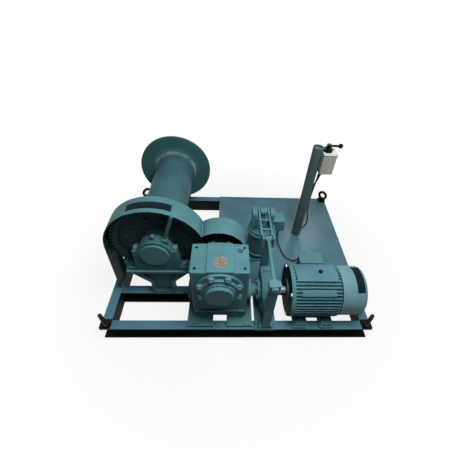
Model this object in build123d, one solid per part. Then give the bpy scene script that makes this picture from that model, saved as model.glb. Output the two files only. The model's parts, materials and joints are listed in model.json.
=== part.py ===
from build123d import *
import math
import os

# Millimetres. +X right, +Y to the rear, +Z up. Origin on the floor, at the centre of the overall footprint.

# Base frame of channels
frame_width = 1450.0
frame_depth = 1125.0
rail_height = 100.0
rail_flange = 50.0
rail_web = 6.0
flange_thickness = 8.0
mid_rail_setback = 219.0
motor_rail_setback = 272.0
left_stringer_inset = 622.0
middle_stringer_inset = 761.0
deck_thickness = 6.0
deck_gap = 2.0
deck_lap = 10.0

# Lifting eyes at the corners
eye_ring_radius = 28.5
eye_bar_radius = 10.0
eye_collar_radius = 20.0
eye_collar_height = 9.0
eye_shank_radius = 10.0
pad_width = 54.0
pad_corner = 6.0
pad_thickness = 10.0

# Drive line: motor, brake and worm share one axis across the frame
axis_setback = 152.0
axis_height = 149.0
gearbox_inset = 625.0
brake_spacing = 242.0
motor_spacing = 101.0

# Open gears
gear_module = 8.0
gear_teeth = 58
pinion_teeth = 24
gear_backlash = 1.0
gear_face = 58.0
gear_rim = 24.0
gear_web = 18.0
gear_hub_radius = 82.0
gear_hub_stand = 10.0
gear_setback = 292.0
pinion_margin = 2.0
drum_axis_height = 346.0
pressure_angle = 20.0

# Drum and its shaft
shaft_radius = 45.0
shaft_recess = 2.0
barrel_radius = 122.0
barrel_wall = 12.0
flange_radius = 232.0
drum_flange = 16.0
drum_flange_inset = 20.0
flange_fillet = 46.0
drum_hub_radius = 64.0
drum_hub_gap = 5.0
drum_web = 18.0
core_hole_radius = 20.0
core_holes = 4
drum_end_gap = 70.0

# Drum bearings and pedestals
bearing_length = 54.0
bush_radius = 62.0
block_radius = 86.0
block_half_width = 108.0
block_taper = 8.0
block_foot_half = 150.0
block_foot = 20.0
block_centre_height = 122.0
cap_ear = 24.0
bearing_cover_radius = 72.0
bearing_cover = 10.0
grease_cup_radius = 9.0
grease_cup_height = 26.0
spot_face = 2.0
pedestal_plate = 16.0
pedestal_half_width = 165.0
pedestal_plate_depth = 76.0
stem_half_width = 62.0
pedestal_depth = 46.0
pedestal_pocket = 16.0
pocket_wall = 16.0
pocket_roof = 14.0
pocket_sill = 24.0
pocket_top_half = 99.0

# Gear guard
guard_sheet = 4.0
guard_gap = 8.0
guard_setback = 252.0
guard_depth = 110.0
guard_skirt = 132.0
guard_leg_inset = 37.5
guard_foot_inset = 4.0
small_guard_radius = 138.0
small_guard_rise = 45.0
small_guard_shift = -8.0
stay_width = 18.0
stay_thickness = 6.0
stay_top_offset = 104.0
stay_low_offset = 56.0
stay_lug_depth = 28.0
stay_lug_margin = 4.0

# Worm gearbox
worm_module = 5.0
worm_pitch_radius = 40.0
worm_turns = 6
tooth_share = 0.40
wheel_face = 24.0
wheel_bore = 30.0
wheel_hub_wall = 18.0
housing_width = 272.0
housing_depth = 176.0
housing_wall = 12.0
housing_height = 400.0
housing_headroom = 6.0
housing_corner = 8.0
belly_height = 35.0
foot_thickness = 18.0
foot_half_width = 172.0
foot_arch_half = 36.0
foot_front_inset = 12.0
foot_rear_reach = 28.0
foot_pad_inner = 20.0
foot_pad_outer = 18.0
foot_pad_depth = 6.0
foot_pad_height = 58.0
ledge_height = 84.0
ledge_depth = 10.0
top_cover = 10.0
cover_easing = 3.0
panel_half_width = 61.0
panel_rise = 6.0
screw_inset_x = 22.0
screw_inset_y = 26.0
screw_floor = 3.0
cover_seat_radius = 116.0
cover_seat = 12.0
cover_radius = 92.0
cover_thickness = 14.0
cover_boss_radius = 76.0
front_boss = 10.0
rear_boss = 4.0
spigot_radius = 84.0
cover_bolt_circle = 99.0
lobe_radius = 16.0
cover_bolts_count = 8
cover_bore_gap = 6.0
wheel_bearing_radius = 55.0
wheel_bearing_width = 28.0
end_cap_radius = 68.0
front_cap = 18.0
rear_cap = 10.0
cap_easing = 4.0
worm_bearing_radius = 40.0
worm_bearing_width = 23.0
worm_boss_radius = 54.0
worm_boss = 16.0
worm_cap = 10.0
worm_journal = 20.0
worm_end_radius = 18.0
plug_across = 24.0
plug_height = 10.0
breather_cap_radius = 10.0
breather_cap = 10.0
drain_height = 34.0
level_height = 86.0

# Coupling and brake drum
brake_drum_radius = 100.0
brake_drum_rim = 12.0
brake_drum_width = 60.0
brake_drum_web = 16.0
brake_hub_radius = 30.0
brake_hub_gap = 25.0
coupling_radius = 58.0
coupling_flange = 14.0
coupling_hub_radius = 34.0
coupling_gap = 3.0
coupling_cap_gap = 2.0
coupling_pin_circle = 45.0
coupling_pin_radius = 9.0
coupling_pins = 6
coupling_nut = 8.0

# Brake linkage
lining_gap = 0.4
lining_thickness = 14.0
shoe_half_angle = 36.0
shoe_width = 54.0
shoe_pad_half = 34.0
shoe_pad_root = 4.0
arm_offset = 142.0
arm_thickness = 24.0
arm_half_width = 21.0
arm_side_gap = 2.0
arm_pivot_height = 28.0
arm_head_half = 17.0
arm_head_half_width = 26.0
arm_head_wall = 9.0
pin_radius = 8.0
pin_end = 5.0
lever_pivot_height = 360.0
lever_throw = 32.0
lever_plate = 8.0
lever_depth = 34.0
spacer_shares = (0.4, 0.7)
tie_rod_radius = 9.0
tie_rod_tail = 14.4
tie_eye_gap = 4.0
tie_eye_wall = 6.0
trunnion_clearance = 2.0
brake_base = 14.0
brake_base_half = 56.0
brake_base_front = 16.0
lug_thickness = 12.0
lug_radius = 14.0
lug_pin_end = 1.5

# Thruster
thruster_setback = 542.0
thruster_radius = 78.0
thruster_height = 224.0
thruster_base = 14.0
thruster_base_edge = 6.0
thruster_rim = 8.0
upper_rim = 16.0
upper_rim_drop = 34.0
lower_rim = 12.0
lower_rim_rise = 30.0
thruster_head_radius = 38.0
thruster_head = 14.0
rod_guide_radius = 28.0
rod_guide = 28.0
cheek_gap = 39.0
cheek_width = 23.0
cheek_depth = 70.0
cheek_rise = 12.0
cheek_corner = 20.0
rod_radius = 14.0
rod_depth = 150.0
rod_bottom_gap = 10.0
rod_eye_radius = 20.0
rod_eye_gap = 3.0
thruster_box_size = 88.0
thruster_box_height = 76.0
thruster_box_rise = 6.0
thruster_box_shift_x = 61.0
thruster_box_shift_y = 28.0

# Motor, a foot-mounted totally enclosed one of 132 mm centre height on packing bars
motor_centre_height = 132.0
motor_foot_spread = 216.0
motor_foot_pitch = 140.0
motor_first_foot = 89.0
motor_root_radius = 124.0
motor_fin_radius = 137.0
motor_fins = 48
fin_root_thickness = 6.0
fin_tip_thickness = 4.0
fin_floor_gap = 4.0
pad_start = 40.0
pad_end = 106.0
pad_margin = 12.0
stator_radius = 110.0
stator_inset = 46.0
air_gap = 1.0
rotor_radius = 65.0
motor_frame_start = 30.0
motor_frame_length = 232.0
shield_thickness = 18.0
shield_spigot = 8.0
shield_flange_radius = 138.0
shield_bolt_inset = 11.0
shield_bolts = 4
shield_lip = 4.0
motor_shaft_radius = 19.0
motor_shaft_length = 80.0
motor_journal = 20.0
motor_bearing_radius = 40.0
motor_bearing_width = 18.0
bearing_boss_wall = 18.0
motor_foot = 14.0
motor_foot_half = 30.0
foot_toe = 32.0
foot_heel = 34.0
foot_step = 14.0
foot_step_height = 66.0
foot_root_inset = 48.0
foot_root_low = 24.0
foot_root_high = 99.0
foot_web = 8.0
foot_web_height = 56.0
bar_half_width = 38.0
bar_inset = 4.0
bolt_end_gap = 4.0
cowl_wall = 3.0
cowl_floor_gap = 2.0
cowl_gap = 9.0
cowl_length = 126.0
cowl_corner = 16.0
cowl_hole_radius = 6.0
fan_radius = 108.0
fan_width = 30.0
fan_gap = 20.0
fan_blades = 8
fan_plate = 4.0
fan_hub_wall = 14.0

# Motor terminal box, on the rear shoulder of the motor
terminal_start = 97.0
terminal_width = 120.0
terminal_front = 118.0
terminal_back = 188.0
terminal_top = 75.0
terminal_bottom = -15.0
terminal_lid = 6.0
terminal_lid_lap = 4.0
terminal_corner = 6.0

# Control post and rotary switch
post_inset = 300.0
post_setback = 718.0
post_radius = 28.5
post_wall = 4.0
post_height = 676.0
post_cap = 6.0
post_cap_recess = 8.0
switch_width = 74.0
switch_depth = 80.0
switch_height = 122.0
switch_below_top = 28.0
switch_lid = 5.0
switch_lid_lap = 2.0
switch_corner = 5.0
bracket_thickness = 6.0
bracket_half_width = 24.0
bracket_margin = 12.0
disc_radius = 26.0
disc_height = 16.0
disc_gap = 0.3
spindle_radius = 8.0
spindle_depth = 50.0
spindle_end_gap = 10.0
handle_reach = 65.0
handle_rise = 15.0
handle_inset = 28.0
handle_setback = 8.0
handle_radius = 6.0
handle_hub_rise = 3.0
ball_radius = 13.0

# Cables and their glands
cable_radius = 5.0
cable_floor_gap = 0.5
cable_hole_gap = 3.0
gland_radius = 10.0
gland_length = 18.0
gland_nut = 6.0
entry_inset = 14.0
entry_side = 14.0
run_inset = 18.0
run_side = 16.0
brake_gland_inset_x = 62.0
brake_gland_inset_y = 35.0

# Fits
running_clearance = 0.05
hole_clearance = 0.5
seal_clearance = 1.0
drill_tip = 2.0
over = 1.0

# Fastener sizes and bolt lines
frame_bolt = 14.0
block_bolt = 12.0
motor_bolt = 12.0
brake_bolt = 10.0
small_bolt = 10.0
front_bolt_line = 27.0
cross_bolt_line = 33.0
motor_rail_bolt_line = 20.0
gearbox_bolt_inset = 36.0
brake_bolt_inset = 10.0
thruster_bolt_inset = 8.0

# Places worked out from the sizes
half_width = frame_width / 2
eye_reach = eye_ring_radius * math.sqrt(0.5) + eye_bar_radius
corner_overhang = max(pad_width / 2, eye_reach) - rail_flange / 2
tie_rod_setback = axis_setback - arm_offset - arm_head_half - tie_rod_tail
front = -(frame_depth + tie_rod_setback + corner_overhang) / 2
back = front + frame_depth
rail_top = rail_height
deck_top = rail_top + deck_thickness
deck_front = front + motor_rail_setback + rail_flange - deck_lap
left_stringer_x = -half_width + left_stringer_inset
middle_stringer_x = -half_width + middle_stringer_inset
deck_left = left_stringer_x - rail_flange / 2
gearbox_x = -half_width + gearbox_inset
brake_x = gearbox_x + brake_spacing
motor_shoulder_x = brake_x + motor_spacing
axis_y = front + axis_setback
axis_z = rail_top + axis_height
room_above_worm = housing_height - axis_height - worm_pitch_radius - housing_headroom
room_between_walls = housing_width - 2 * (housing_wall + housing_headroom) - worm_module
wheel_teeth = math.floor(min(room_above_worm, room_between_walls) / worm_module + 1e-6) - 1
wheel_radius = worm_module * wheel_teeth / 2
wheel_z = axis_z + worm_pitch_radius + wheel_radius
gear_radius = gear_module * gear_teeth / 2
gear_root = gear_radius - 1.25 * gear_module
pinion_radius = gear_module * pinion_teeth / 2
gear_centres = gear_radius + pinion_radius
drum_z = rail_top + drum_axis_height
drum_x = gearbox_x - math.sqrt(gear_centres ** 2 - (drum_z - wheel_z) ** 2)
gear_front = front + gear_setback
gear_back = gear_front + gear_face
gear_middle = (gear_front + gear_back) / 2
web_back = gear_middle + gear_web / 2
pinion_face = (gear_front - pinion_margin, gear_back + pinion_margin)
front_bearing_y = front + mid_rail_setback + rail_flange / 2
rear_bearing_y = back - bearing_length / 2
drum_rear = rear_bearing_y - bearing_length / 2 - drum_end_gap
block_base_z = drum_z - block_centre_height
cap_top = drum_z + block_radius
guard_front = front + guard_setback
guard_back = guard_front + guard_depth
guard_foot_x = -half_width + rail_flange / 2
housing_front = axis_y - housing_depth / 2
housing_back = axis_y + housing_depth / 2
housing_top = rail_top + housing_height
housing_sides = (gearbox_x - housing_width / 2, gearbox_x + housing_width / 2)
worm_face = housing_width / 2 + worm_boss
drum_left = brake_x - brake_drum_width / 2
drum_right = brake_x + brake_drum_width / 2
arm_pivot_z = rail_top + arm_pivot_height
lever_pivot_z = rail_top + lever_pivot_height
knuckle_z = lever_pivot_z
tie_rod_z = lever_pivot_z + lever_throw
rear_arm_y = axis_y + arm_offset
front_arm_y = axis_y - arm_offset
lever_inside = arm_half_width + arm_side_gap + lever_plate / 2
thruster_y = front + thruster_setback
thruster_foot = deck_top + thruster_base
thruster_top = thruster_foot + thruster_height
box_corner = (brake_x + thruster_box_shift_x, thruster_y + thruster_box_shift_y)
box_low = thruster_top - thruster_box_height + thruster_box_rise
bar_top = axis_z - motor_centre_height
bar_back = deck_front - deck_gap
foot_places = [motor_shoulder_x + motor_first_foot + i * motor_foot_pitch for i in range(2)]
frame_start = motor_shoulder_x + motor_frame_start
frame_end = frame_start + motor_frame_length
core_reach = (frame_start + stator_inset, frame_end - stator_inset)
cowl_radius = motor_centre_height - cowl_floor_gap
cowl_start = frame_end + cowl_gap
cowl_end = cowl_start + cowl_length
fan_start = frame_end + shield_thickness + fan_gap
post_x = half_width - post_inset
post_y = front + post_setback
post_top = deck_top + post_height
switch_left = post_x + post_radius + bracket_thickness / 2
switch_top = post_top - switch_below_top
switch_bottom = switch_top - switch_height
handle_x = switch_left + handle_inset
handle_y = post_y + handle_setback
corners = [(sx, sy) for sx in (-1, 1) for sy in (-1, 1)]
cover_sides = ((housing_front, -1, front_boss, front_cap), (housing_back, 1, rear_boss, rear_cap))

# Bolt patterns, in plan
bolt_places = {
    "gearbox": [
        (gearbox_x + sx * (foot_half_width - gearbox_bolt_inset), y)
        for sx in (-1, 1)
        for y in (front + front_bolt_line, front + mid_rail_setback + cross_bolt_line)
    ],
    "brake": [
        (brake_x + sx * (brake_base_half - brake_bolt_inset), y)
        for sx in (-1, 1)
        for y in (front + front_bolt_line, front + motor_rail_setback + motor_rail_bolt_line)
    ],
    "thruster": [
        (brake_x + sx * (thruster_radius - thruster_bolt_inset),
         thruster_y + sy * (thruster_radius - thruster_bolt_inset))
        for sx, sy in corners
    ],
    "motor": [(x, axis_y + sy * motor_foot_spread / 2) for x in foot_places for sy in (-1, 1)],
    "guard": [(guard_foot_x, guard_front + guard_depth * share) for share in (0.25, 0.75)],
    "top_cover": [
        (gearbox_x + sx * (housing_width / 2 - screw_inset_x),
         axis_y + sy * (housing_depth / 2 - screw_inset_y))
        for sx, sy in corners
    ],
}
eye_places = [
    (
        sx * (half_width - rail_flange / 2),
        (front + back) / 2 + sy * (frame_depth - rail_flange) / 2,
        rail_top + (deck_thickness if sx + sy == 2 else 0.0),
    )
    for sx, sy in corners
]

# Cable routes and the glands they leave from
def route(start, steps):
    """Points of a cable run: steps from a start, counted in cable radii."""
    return [tuple(a + cable_radius * b for a, b in zip(start, step)) for step in steps]


gland_z = switch_bottom - gland_length
cable_entry = route(
    (switch_left + entry_inset, post_y - entry_side, gland_z),
    [(0, 0, 0), (0, 0, -6.8), (-8.3, 0, -28)],
)
cable_run = route(
    (switch_left + run_inset, post_y + run_side, gland_z),
    [(0, 0, 0), (0, 0, -8.8), (-1.5, 0.2, -24.8)],
)
cable_run += route(
    (post_x, post_y, deck_top),
    [(7.4, 2.8, 58.8), (7.6, 1.0, 42.8), (10.8, 0, 31.2), (11.8, 0, 21.2), (9.0, 0, 13.2), (3.4, 0, 7.2)],
)
motor_gland = (
    motor_shoulder_x + terminal_start + terminal_width / 2,
    axis_y + terminal_back,
    axis_z + (terminal_top + terminal_bottom) / 2,
)
brake_gland = (box_corner[0] + brake_gland_inset_x, box_corner[1] + brake_gland_inset_y, box_low - gland_length)
cable_low = deck_top + cable_radius + cable_floor_gap
brake_run = route(
    (motor_gland[0], motor_gland[1] + gland_length, motor_gland[2]),
    [(0, 0, 0), (0, 6, 0), (-0.4, 12.4, -8)],
)
brake_run += route(
    (motor_gland[0], motor_gland[1] + gland_length, (motor_gland[2] + cable_low) / 2),
    [(-2, 16, -6)],
)
brake_run += route(
    (motor_gland[0], motor_gland[1] + gland_length, cable_low),
    [(-6.8, 19.6, 0), (-17.6, 26.4, 0)],
)
brake_run += route((brake_gland[0], brake_gland[1], cable_low), [(5.2, -6, 0)])
brake_run += route((brake_gland[0], brake_gland[1], 0.65 * cable_low + 0.35 * brake_gland[2]), [(0.6, -1.2, 0)])
brake_run += [(brake_gland[0], brake_gland[1], 0.3 * cable_low + 0.7 * brake_gland[2]), brake_gland]


def block(x, y, z):
    """Box between low and high values along each axis."""
    middle = Pos((x[0] + x[1]) / 2, (y[0] + y[1]) / 2, (z[0] + z[1]) / 2)
    return middle * Box(x[1] - x[0], y[1] - y[0], z[1] - z[0])


def eased_block(x, y, z, corner, top_edge):
    """Box with rounded upright corners and a rounded top edge."""
    body = block(x, y, z)
    body = fillet(body.edges().filter_by(Axis.Z), corner)
    return fillet(body.faces().sort_by(Axis.Z)[-1].edges(), top_edge)


def rounded_end(solid, axis, end, radius):
    """Solid with the rim at one end of an axis rounded."""
    return fillet(solid.edges().sort_by(axis)[end], radius)


def rod(start, end, radius):
    """Round bar between two points."""
    run = Vector(*end) - Vector(*start)
    upright = (Align.CENTER, Align.CENTER, Align.MIN)
    return Plane(Vector(*start), z_dir=run) * Cylinder(radius, run.length, align=upright)


def bar_x(x, y, z, radius):
    """Round bar along X between the two x values."""
    return rod((x[0], y, z), (x[1], y, z), radius)


def bar_y(x, y, z, radius):
    """Round bar along Y between the two y values."""
    return rod((x, y[0], z), (x, y[1], z), radius)


def bar_z(x, y, z, radius):
    """Round bar along Z between the two z values."""
    return rod((x, y, z[0]), (x, y, z[1]), radius)


def wider(reach):
    """The same reach, run past both of its ends by the margin of a cut."""
    return (reach[0] - over, reach[1] + over)


def prism_y(outline, y):
    """Solid from an outline of (x, z) points, between two y values."""
    face = make_face(Polyline(*[(px, y[0], pz) for px, pz in outline], close=True))
    return extrude(face, amount=y[1] - y[0], dir=(0, 1, 0))


def prism_x(outline, x):
    """Solid from an outline of (y, z) points, between two x values."""
    face = make_face(Polyline(*[(x[0], py, pz) for py, pz in outline], close=True))
    return extrude(face, amount=x[1] - x[0], dir=(1, 0, 0))


def hexagon(place, direction, across, height):
    """Hexagonal prism standing on a point."""
    outline = RegularPolygon(across / 2, 6, major_radius=False)
    return extrude(Plane(Vector(*place), z_dir=Vector(*direction)) * outline, amount=height)


def hex_head(seat, direction, size):
    """Head of a cover bolt, standing on its seat."""
    return hexagon(seat, direction, size * 1.7, size * 0.7)


def hex_bolt(seat, direction, size, length):
    """Hexagon bolt: the head stands on the seat, the shank runs the given length along direction."""
    line = Vector(*direction)
    start = Vector(*seat)
    head = hexagon(start, line * -1, size * 1.5, size * 0.63)
    return head + rod(start - line * (size * 0.3), start + line * length, size / 2)


def hex_nut(seat, direction, size):
    """Hexagon nut whose face lies on the seat."""
    line = Vector(*direction)
    start = Vector(*seat)
    blank = hexagon(start, line, size * 1.5, size * 0.8)
    return blank - rod(start - line, start + line * size, size / 2 + running_clearance)


def through_bolts(places, seat, size, grip):
    """Bolts down through a foot and a flange, with nuts below the flange."""
    made = []
    for x, y in places:
        made.append(hex_bolt((x, y, seat), (0, 0, -1), size, grip + size * 1.2))
        made.append(hex_nut((x, y, seat - grip), (0, 0, -1), size))
    return made


def bolt_holes(places, size, z):
    """Clearance holes for bolts along Z."""
    return [bar_z(x, y, z, size / 2 + hole_clearance) for x, y in places]


def group(solids):
    """Several separate solids as one shape."""
    return Compound([piece for solid in solids for piece in solid.solids()])


def ring_places(count, radius, start=0.0):
    """Offsets of a number of points spread evenly on a circle."""
    turns = [math.radians(start + 360.0 * i / count) for i in range(count)]
    return [(radius * math.cos(turn), radius * math.sin(turn)) for turn in turns]


def gear_outline(centre, module, teeth, backlash, phase):
    """Involute spur outline in (x, z), with a tooth centred on the phase angle."""
    pressure = math.radians(pressure_angle)
    pitch = module * teeth / 2
    base = pitch * math.cos(pressure)
    root = pitch - 1.25 * module
    tip = pitch + module
    pitch_half = math.pi / (2 * teeth) - backlash / (4 * pitch)
    pitch_roll = math.tan(pressure) - pressure

    def half_angle(radius):
        roll = math.acos(min(1.0, base / radius))
        return pitch_half + pitch_roll - (math.tan(roll) - roll)

    low = max(base, root) + 0.05 * module
    radii = [low, (low + tip) / 2, tip]
    flank = [(root, half_angle(low) + 0.004)] + [(radius, half_angle(radius)) for radius in radii]
    points = []
    for tooth in range(teeth):
        middle = phase + 2 * math.pi * tooth / teeth
        side = [(radius, middle - angle) for radius, angle in flank]
        side += [(radius, middle + angle) for radius, angle in reversed(flank)]
        points += [(centre[0] + r * math.cos(a), centre[1] + r * math.sin(a)) for r, a in side]
    return points


# Base frame
def rail_holes():
    """Every bolt hole through the top flanges of the frame."""
    reach = wider((rail_top - flange_thickness, rail_top))
    holes = bolt_holes(bolt_places["gearbox"], frame_bolt, reach)
    holes += bolt_holes(bolt_places["brake"], brake_bolt, reach)
    holes += bolt_holes(bolt_places["guard"], small_bolt, reach)
    holes += bolt_holes([place[:2] for place in eye_places], 2 * eye_shank_radius, reach)
    return holes


def channel(x, y, open_side):
    """Channel rail filling a plan rectangle, with its hollow towards one side."""
    inner_z = (flange_thickness, rail_height - flange_thickness)
    hollow_x, hollow_y = x, y
    if open_side == "front":
        hollow_y = (y[0] - over, y[1] - rail_web)
    elif open_side == "rear":
        hollow_y = (y[0] + rail_web, y[1] + over)
    elif open_side == "left":
        hollow_x = (x[0] - over, x[1] - rail_web)
    else:
        hollow_x = (x[0] + rail_web, x[1] + over)
    return block(x, y, (0.0, rail_height)) - block(hollow_x, hollow_y, inner_z)


def make_rails():
    """The channels of the base frame."""
    inside = (front + rail_flange, back - rail_flange)
    mid_y = (front + mid_rail_setback, front + mid_rail_setback + rail_flange)
    motor_y = (front + motor_rail_setback, front + motor_rail_setback + rail_flange)
    middle_x = (middle_stringer_x - rail_flange / 2, middle_stringer_x + rail_flange / 2)
    across = (-half_width, half_width)
    holes = rail_holes()
    rails = {
        "front_rail": channel(across, (front, front + rail_flange), "front"),
        "rear_rail": channel(across, (back - rail_flange, back), "rear"),
        "left_rail": channel((-half_width, -half_width + rail_flange), inside, "left"),
        "right_rail": channel((half_width - rail_flange, half_width), inside, "right"),
        "mid_rail": channel((-half_width + rail_flange, middle_x[0]), mid_y, "front"),
        "motor_rail": channel((middle_x[1], half_width - rail_flange), motor_y, "front"),
    }
    rails = {name: rail - holes for name, rail in rails.items()}
    stringers = [
        channel((deck_left, deck_left + rail_flange), (mid_y[1], inside[1]), "left"),
        channel(middle_x, (mid_y[0], inside[1]), "right"),
        channel((post_x - rail_flange / 2, post_x + rail_flange / 2), (motor_y[1], inside[1]), "right"),
    ]
    rails["deck_stringers"] = group([stringer - holes for stringer in stringers])
    return rails


def make_deck():
    """Two deck plates with an open seam between them, under the control post."""
    height = (rail_top, deck_top)
    seam = post_x
    holes = bolt_holes(bolt_places["thruster"], small_bolt, wider(height))
    holes += bolt_holes([place[:2] for place in eye_places], 2 * eye_shank_radius, wider(height))
    left = block((deck_left, seam - deck_gap / 2), (deck_front, back), height) - holes
    right = block((seam + deck_gap / 2, half_width), (deck_front, back), height) - holes
    return group([left, right])


def make_eyes():
    """Lifting eyes, each ring across its corner's diagonal, and the square pads under them."""
    pads, eyes = [], []
    half = pad_width / 2
    for (sx, sy), (x, y, seat) in zip(corners, eye_places):
        top = seat + pad_thickness
        ring_z = top + eye_collar_height + eye_ring_radius + eye_bar_radius * 0.6
        ring = Plane((x, y, ring_z), z_dir=(sx, sy, 0)) * Torus(eye_ring_radius, eye_bar_radius)
        shank_end = rail_top - flange_thickness - 2 * eye_shank_radius
        shank = bar_z(x, y, (shank_end, top + over), eye_shank_radius)
        collar = bar_z(x, y, (top, top + eye_collar_height), eye_collar_radius)
        neck = bar_z(x, y, (top + over, ring_z - eye_ring_radius), eye_bar_radius * 1.2)
        eyes.append(ring + collar + neck + shank)
        pad = block((x - half, x + half), (y - half, y + half), (seat, top))
        pad = fillet(pad.edges().filter_by(Axis.Z), pad_corner)
        pads.append(pad - bar_z(x, y, wider((seat, top)), eye_shank_radius + hole_clearance))
    return group(pads), group(eyes)


# Drum group
def make_drum():
    """Cast drum: front flange on the gear's web, plain barrel, wide rear flange and hub."""
    inner = barrel_radius - barrel_wall
    flange_face = drum_rear - drum_flange
    front_flange = web_back + drum_flange
    fillet_y = flange_face - flange_fillet
    bend = flange_fillet * math.sqrt(0.5)
    bolt_flange = gear_root - gear_rim - drum_flange_inset
    hub_end = rear_bearing_y - bearing_length / 2 - drum_hub_gap

    def at(radius, y):
        return (drum_x + radius, y, drum_z)

    outer = Polyline(
        at(shaft_radius, web_back), at(bolt_flange, web_back), at(bolt_flange, front_flange),
        at(barrel_radius, front_flange), at(barrel_radius, fillet_y),
    )
    sweep_in = ThreePointArc(
        at(barrel_radius, fillet_y),
        at(barrel_radius + flange_fillet - bend, fillet_y + bend),
        at(barrel_radius + flange_fillet, flange_face),
    )
    rest = Polyline(
        at(barrel_radius + flange_fillet, flange_face), at(flange_radius, flange_face),
        at(flange_radius, drum_rear), at(drum_hub_radius, drum_rear), at(drum_hub_radius, hub_end),
        at(shaft_radius, hub_end), at(shaft_radius, drum_rear - drum_web), at(inner, drum_rear - drum_web),
        at(inner, web_back + drum_web), at(shaft_radius, web_back + drum_web), at(shaft_radius, web_back),
    )
    section = make_face([outer, sweep_in, rest])
    drum = revolve(section, Axis((drum_x, 0, drum_z), (0, 1, 0)))
    hole_circle = (drum_hub_radius + inner) / 2
    holes = [
        bar_y(drum_x + dx, wider((drum_rear - drum_web, drum_rear)), drum_z + dz, core_hole_radius)
        for dx, dz in ring_places(core_holes, hole_circle, 180.0 / core_holes)
    ]
    return drum - holes


def make_main_shaft():
    """Drum shaft, ending just inside the outer faces of both bearings."""
    recess = bearing_length / 2 - shaft_recess
    return bar_y(drum_x, (front_bearing_y - recess, rear_bearing_y + recess), drum_z, shaft_radius)


def make_bull_gear():
    """Bull gear with a rim, a recessed web and a hub."""
    line = math.atan2(wheel_z - drum_z, gearbox_x - drum_x)
    outline = gear_outline((drum_x, drum_z), gear_module, gear_teeth, gear_backlash, line)
    web = (gear_middle - gear_web / 2, web_back)
    hub_front = gear_front - gear_hub_stand
    gear = prism_y(outline, (gear_front, gear_back))
    gear -= bar_y(drum_x, (gear_front - over, web[0]), drum_z, gear_root - gear_rim)
    gear -= bar_y(drum_x, (web[1], gear_back + over), drum_z, gear_root - gear_rim)
    gear += bar_y(drum_x, (hub_front, web[0] + over), drum_z, gear_hub_radius)
    return gear - bar_y(drum_x, wider((hub_front, gear_back)), drum_z, shaft_radius)


def bearing_block(y):
    """Lower half, cap, bush, bolts and foot holes of one split bearing block."""
    reach = (y - bearing_length / 2, y + bearing_length / 2)
    foot_z = -block_centre_height
    foot_edge = block_half_width + block_taper
    outline = [
        (-block_foot_half, foot_z), (block_foot_half, foot_z), (block_foot_half, foot_z + block_foot),
        (foot_edge, foot_z + block_foot), (block_half_width, -cap_ear), (block_half_width, 0.0),
        (-block_half_width, 0.0), (-block_half_width, -cap_ear),
        (-foot_edge, foot_z + block_foot), (-block_foot_half, foot_z + block_foot),
    ]
    seat = bar_y(drum_x, wider(reach), drum_z, bush_radius)
    lower = prism_y([(drum_x + x, drum_z + z) for x, z in outline], reach) - seat
    below = 2 * block_radius
    dome = bar_y(drum_x, reach, drum_z, block_radius)
    dome -= block((drum_x - below, drum_x + below), reach, (drum_z - below, drum_z))
    ears = block((drum_x - block_half_width, drum_x + block_half_width), reach, (drum_z, drum_z + cap_ear))
    lug_x = drum_x + stay_low_offset
    lug_half = stay_width / 2 + stay_lug_margin
    lug_y = (y - stay_lug_depth / 2, y + stay_lug_depth / 2)
    lug = block((lug_x - lug_half, lug_x + lug_half), lug_y, (drum_z + cap_ear, cap_top))
    cup_seat = bar_z(drum_x, y, (cap_top - spot_face, cap_top + over), grease_cup_radius + seal_clearance)
    cap = dome + ears + lug - seat - cup_seat
    bush = bar_y(drum_x, reach, drum_z, bush_radius)
    bush -= bar_y(drum_x, wider(reach), drum_z, shaft_radius + running_clearance)
    ear_x = block_half_width - 0.9 * block_bolt
    foot_x = (block_foot_half + foot_edge) / 2
    ear_bolts = [(drum_x + sx * ear_x, y) for sx in (-1, 1)]
    foot_bolts = [(drum_x + sx * foot_x, y) for sx in (-1, 1)]
    ear_depth = 2.5 * block_bolt
    ear_seat = drum_z + cap_ear
    ear_holes = bolt_holes(ear_bolts, block_bolt, (drum_z - ear_depth - drill_tip, ear_seat + over))
    foot_depth = pedestal_plate + block_bolt
    foot_seat = block_base_z + block_foot
    foot_holes = bolt_holes(foot_bolts, block_bolt, (block_base_z - foot_depth - drill_tip, foot_seat + over))
    down = (0, 0, -1)
    bolts = [hex_bolt((px, py, ear_seat), down, block_bolt, cap_ear + ear_depth) for px, py in ear_bolts]
    bolts += [hex_bolt((px, py, foot_seat), down, block_bolt, block_foot + foot_depth) for px, py in foot_bolts]
    return lower - ear_holes - foot_holes, cap - ear_holes, bush, bolts, foot_holes


def make_pedestal(y, foot_holes):
    """Waisted pedestal with a wide top plate, welded to the rail below."""
    plate_z = block_base_z - pedestal_plate
    waist_z = (rail_top + plate_z) / 2
    outline = [
        (-pedestal_half_width, plate_z), (pedestal_half_width, plate_z), (stem_half_width, waist_z),
        (stem_half_width, rail_top), (-stem_half_width, rail_top), (-stem_half_width, waist_z),
    ]
    depth = (y - pedestal_depth / 2, y + pedestal_depth / 2)
    plate_depth = (max(y - pedestal_plate_depth / 2, front), min(y + pedestal_plate_depth / 2, back))
    stem = prism_y([(drum_x + x, z) for x, z in outline], depth)
    plate_x = (drum_x - pedestal_half_width, drum_x + pedestal_half_width)
    plate = block(plate_x, plate_depth, (plate_z, block_base_z))
    low_half = stem_half_width - pocket_wall
    pocket = [
        (-pocket_top_half, plate_z - pocket_roof), (pocket_top_half, plate_z - pocket_roof),
        (low_half, waist_z), (low_half, rail_top + pocket_sill),
        (-low_half, rail_top + pocket_sill), (-low_half, waist_z),
    ]
    hollow_outline = [(drum_x + x, z) for x, z in pocket]
    hollows = [
        prism_y(hollow_outline, (depth[0] - over, depth[0] + pedestal_pocket)),
        prism_y(hollow_outline, (depth[1] - pedestal_pocket, depth[1] + over)),
    ]
    return stem + plate - hollows - foot_holes


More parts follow.
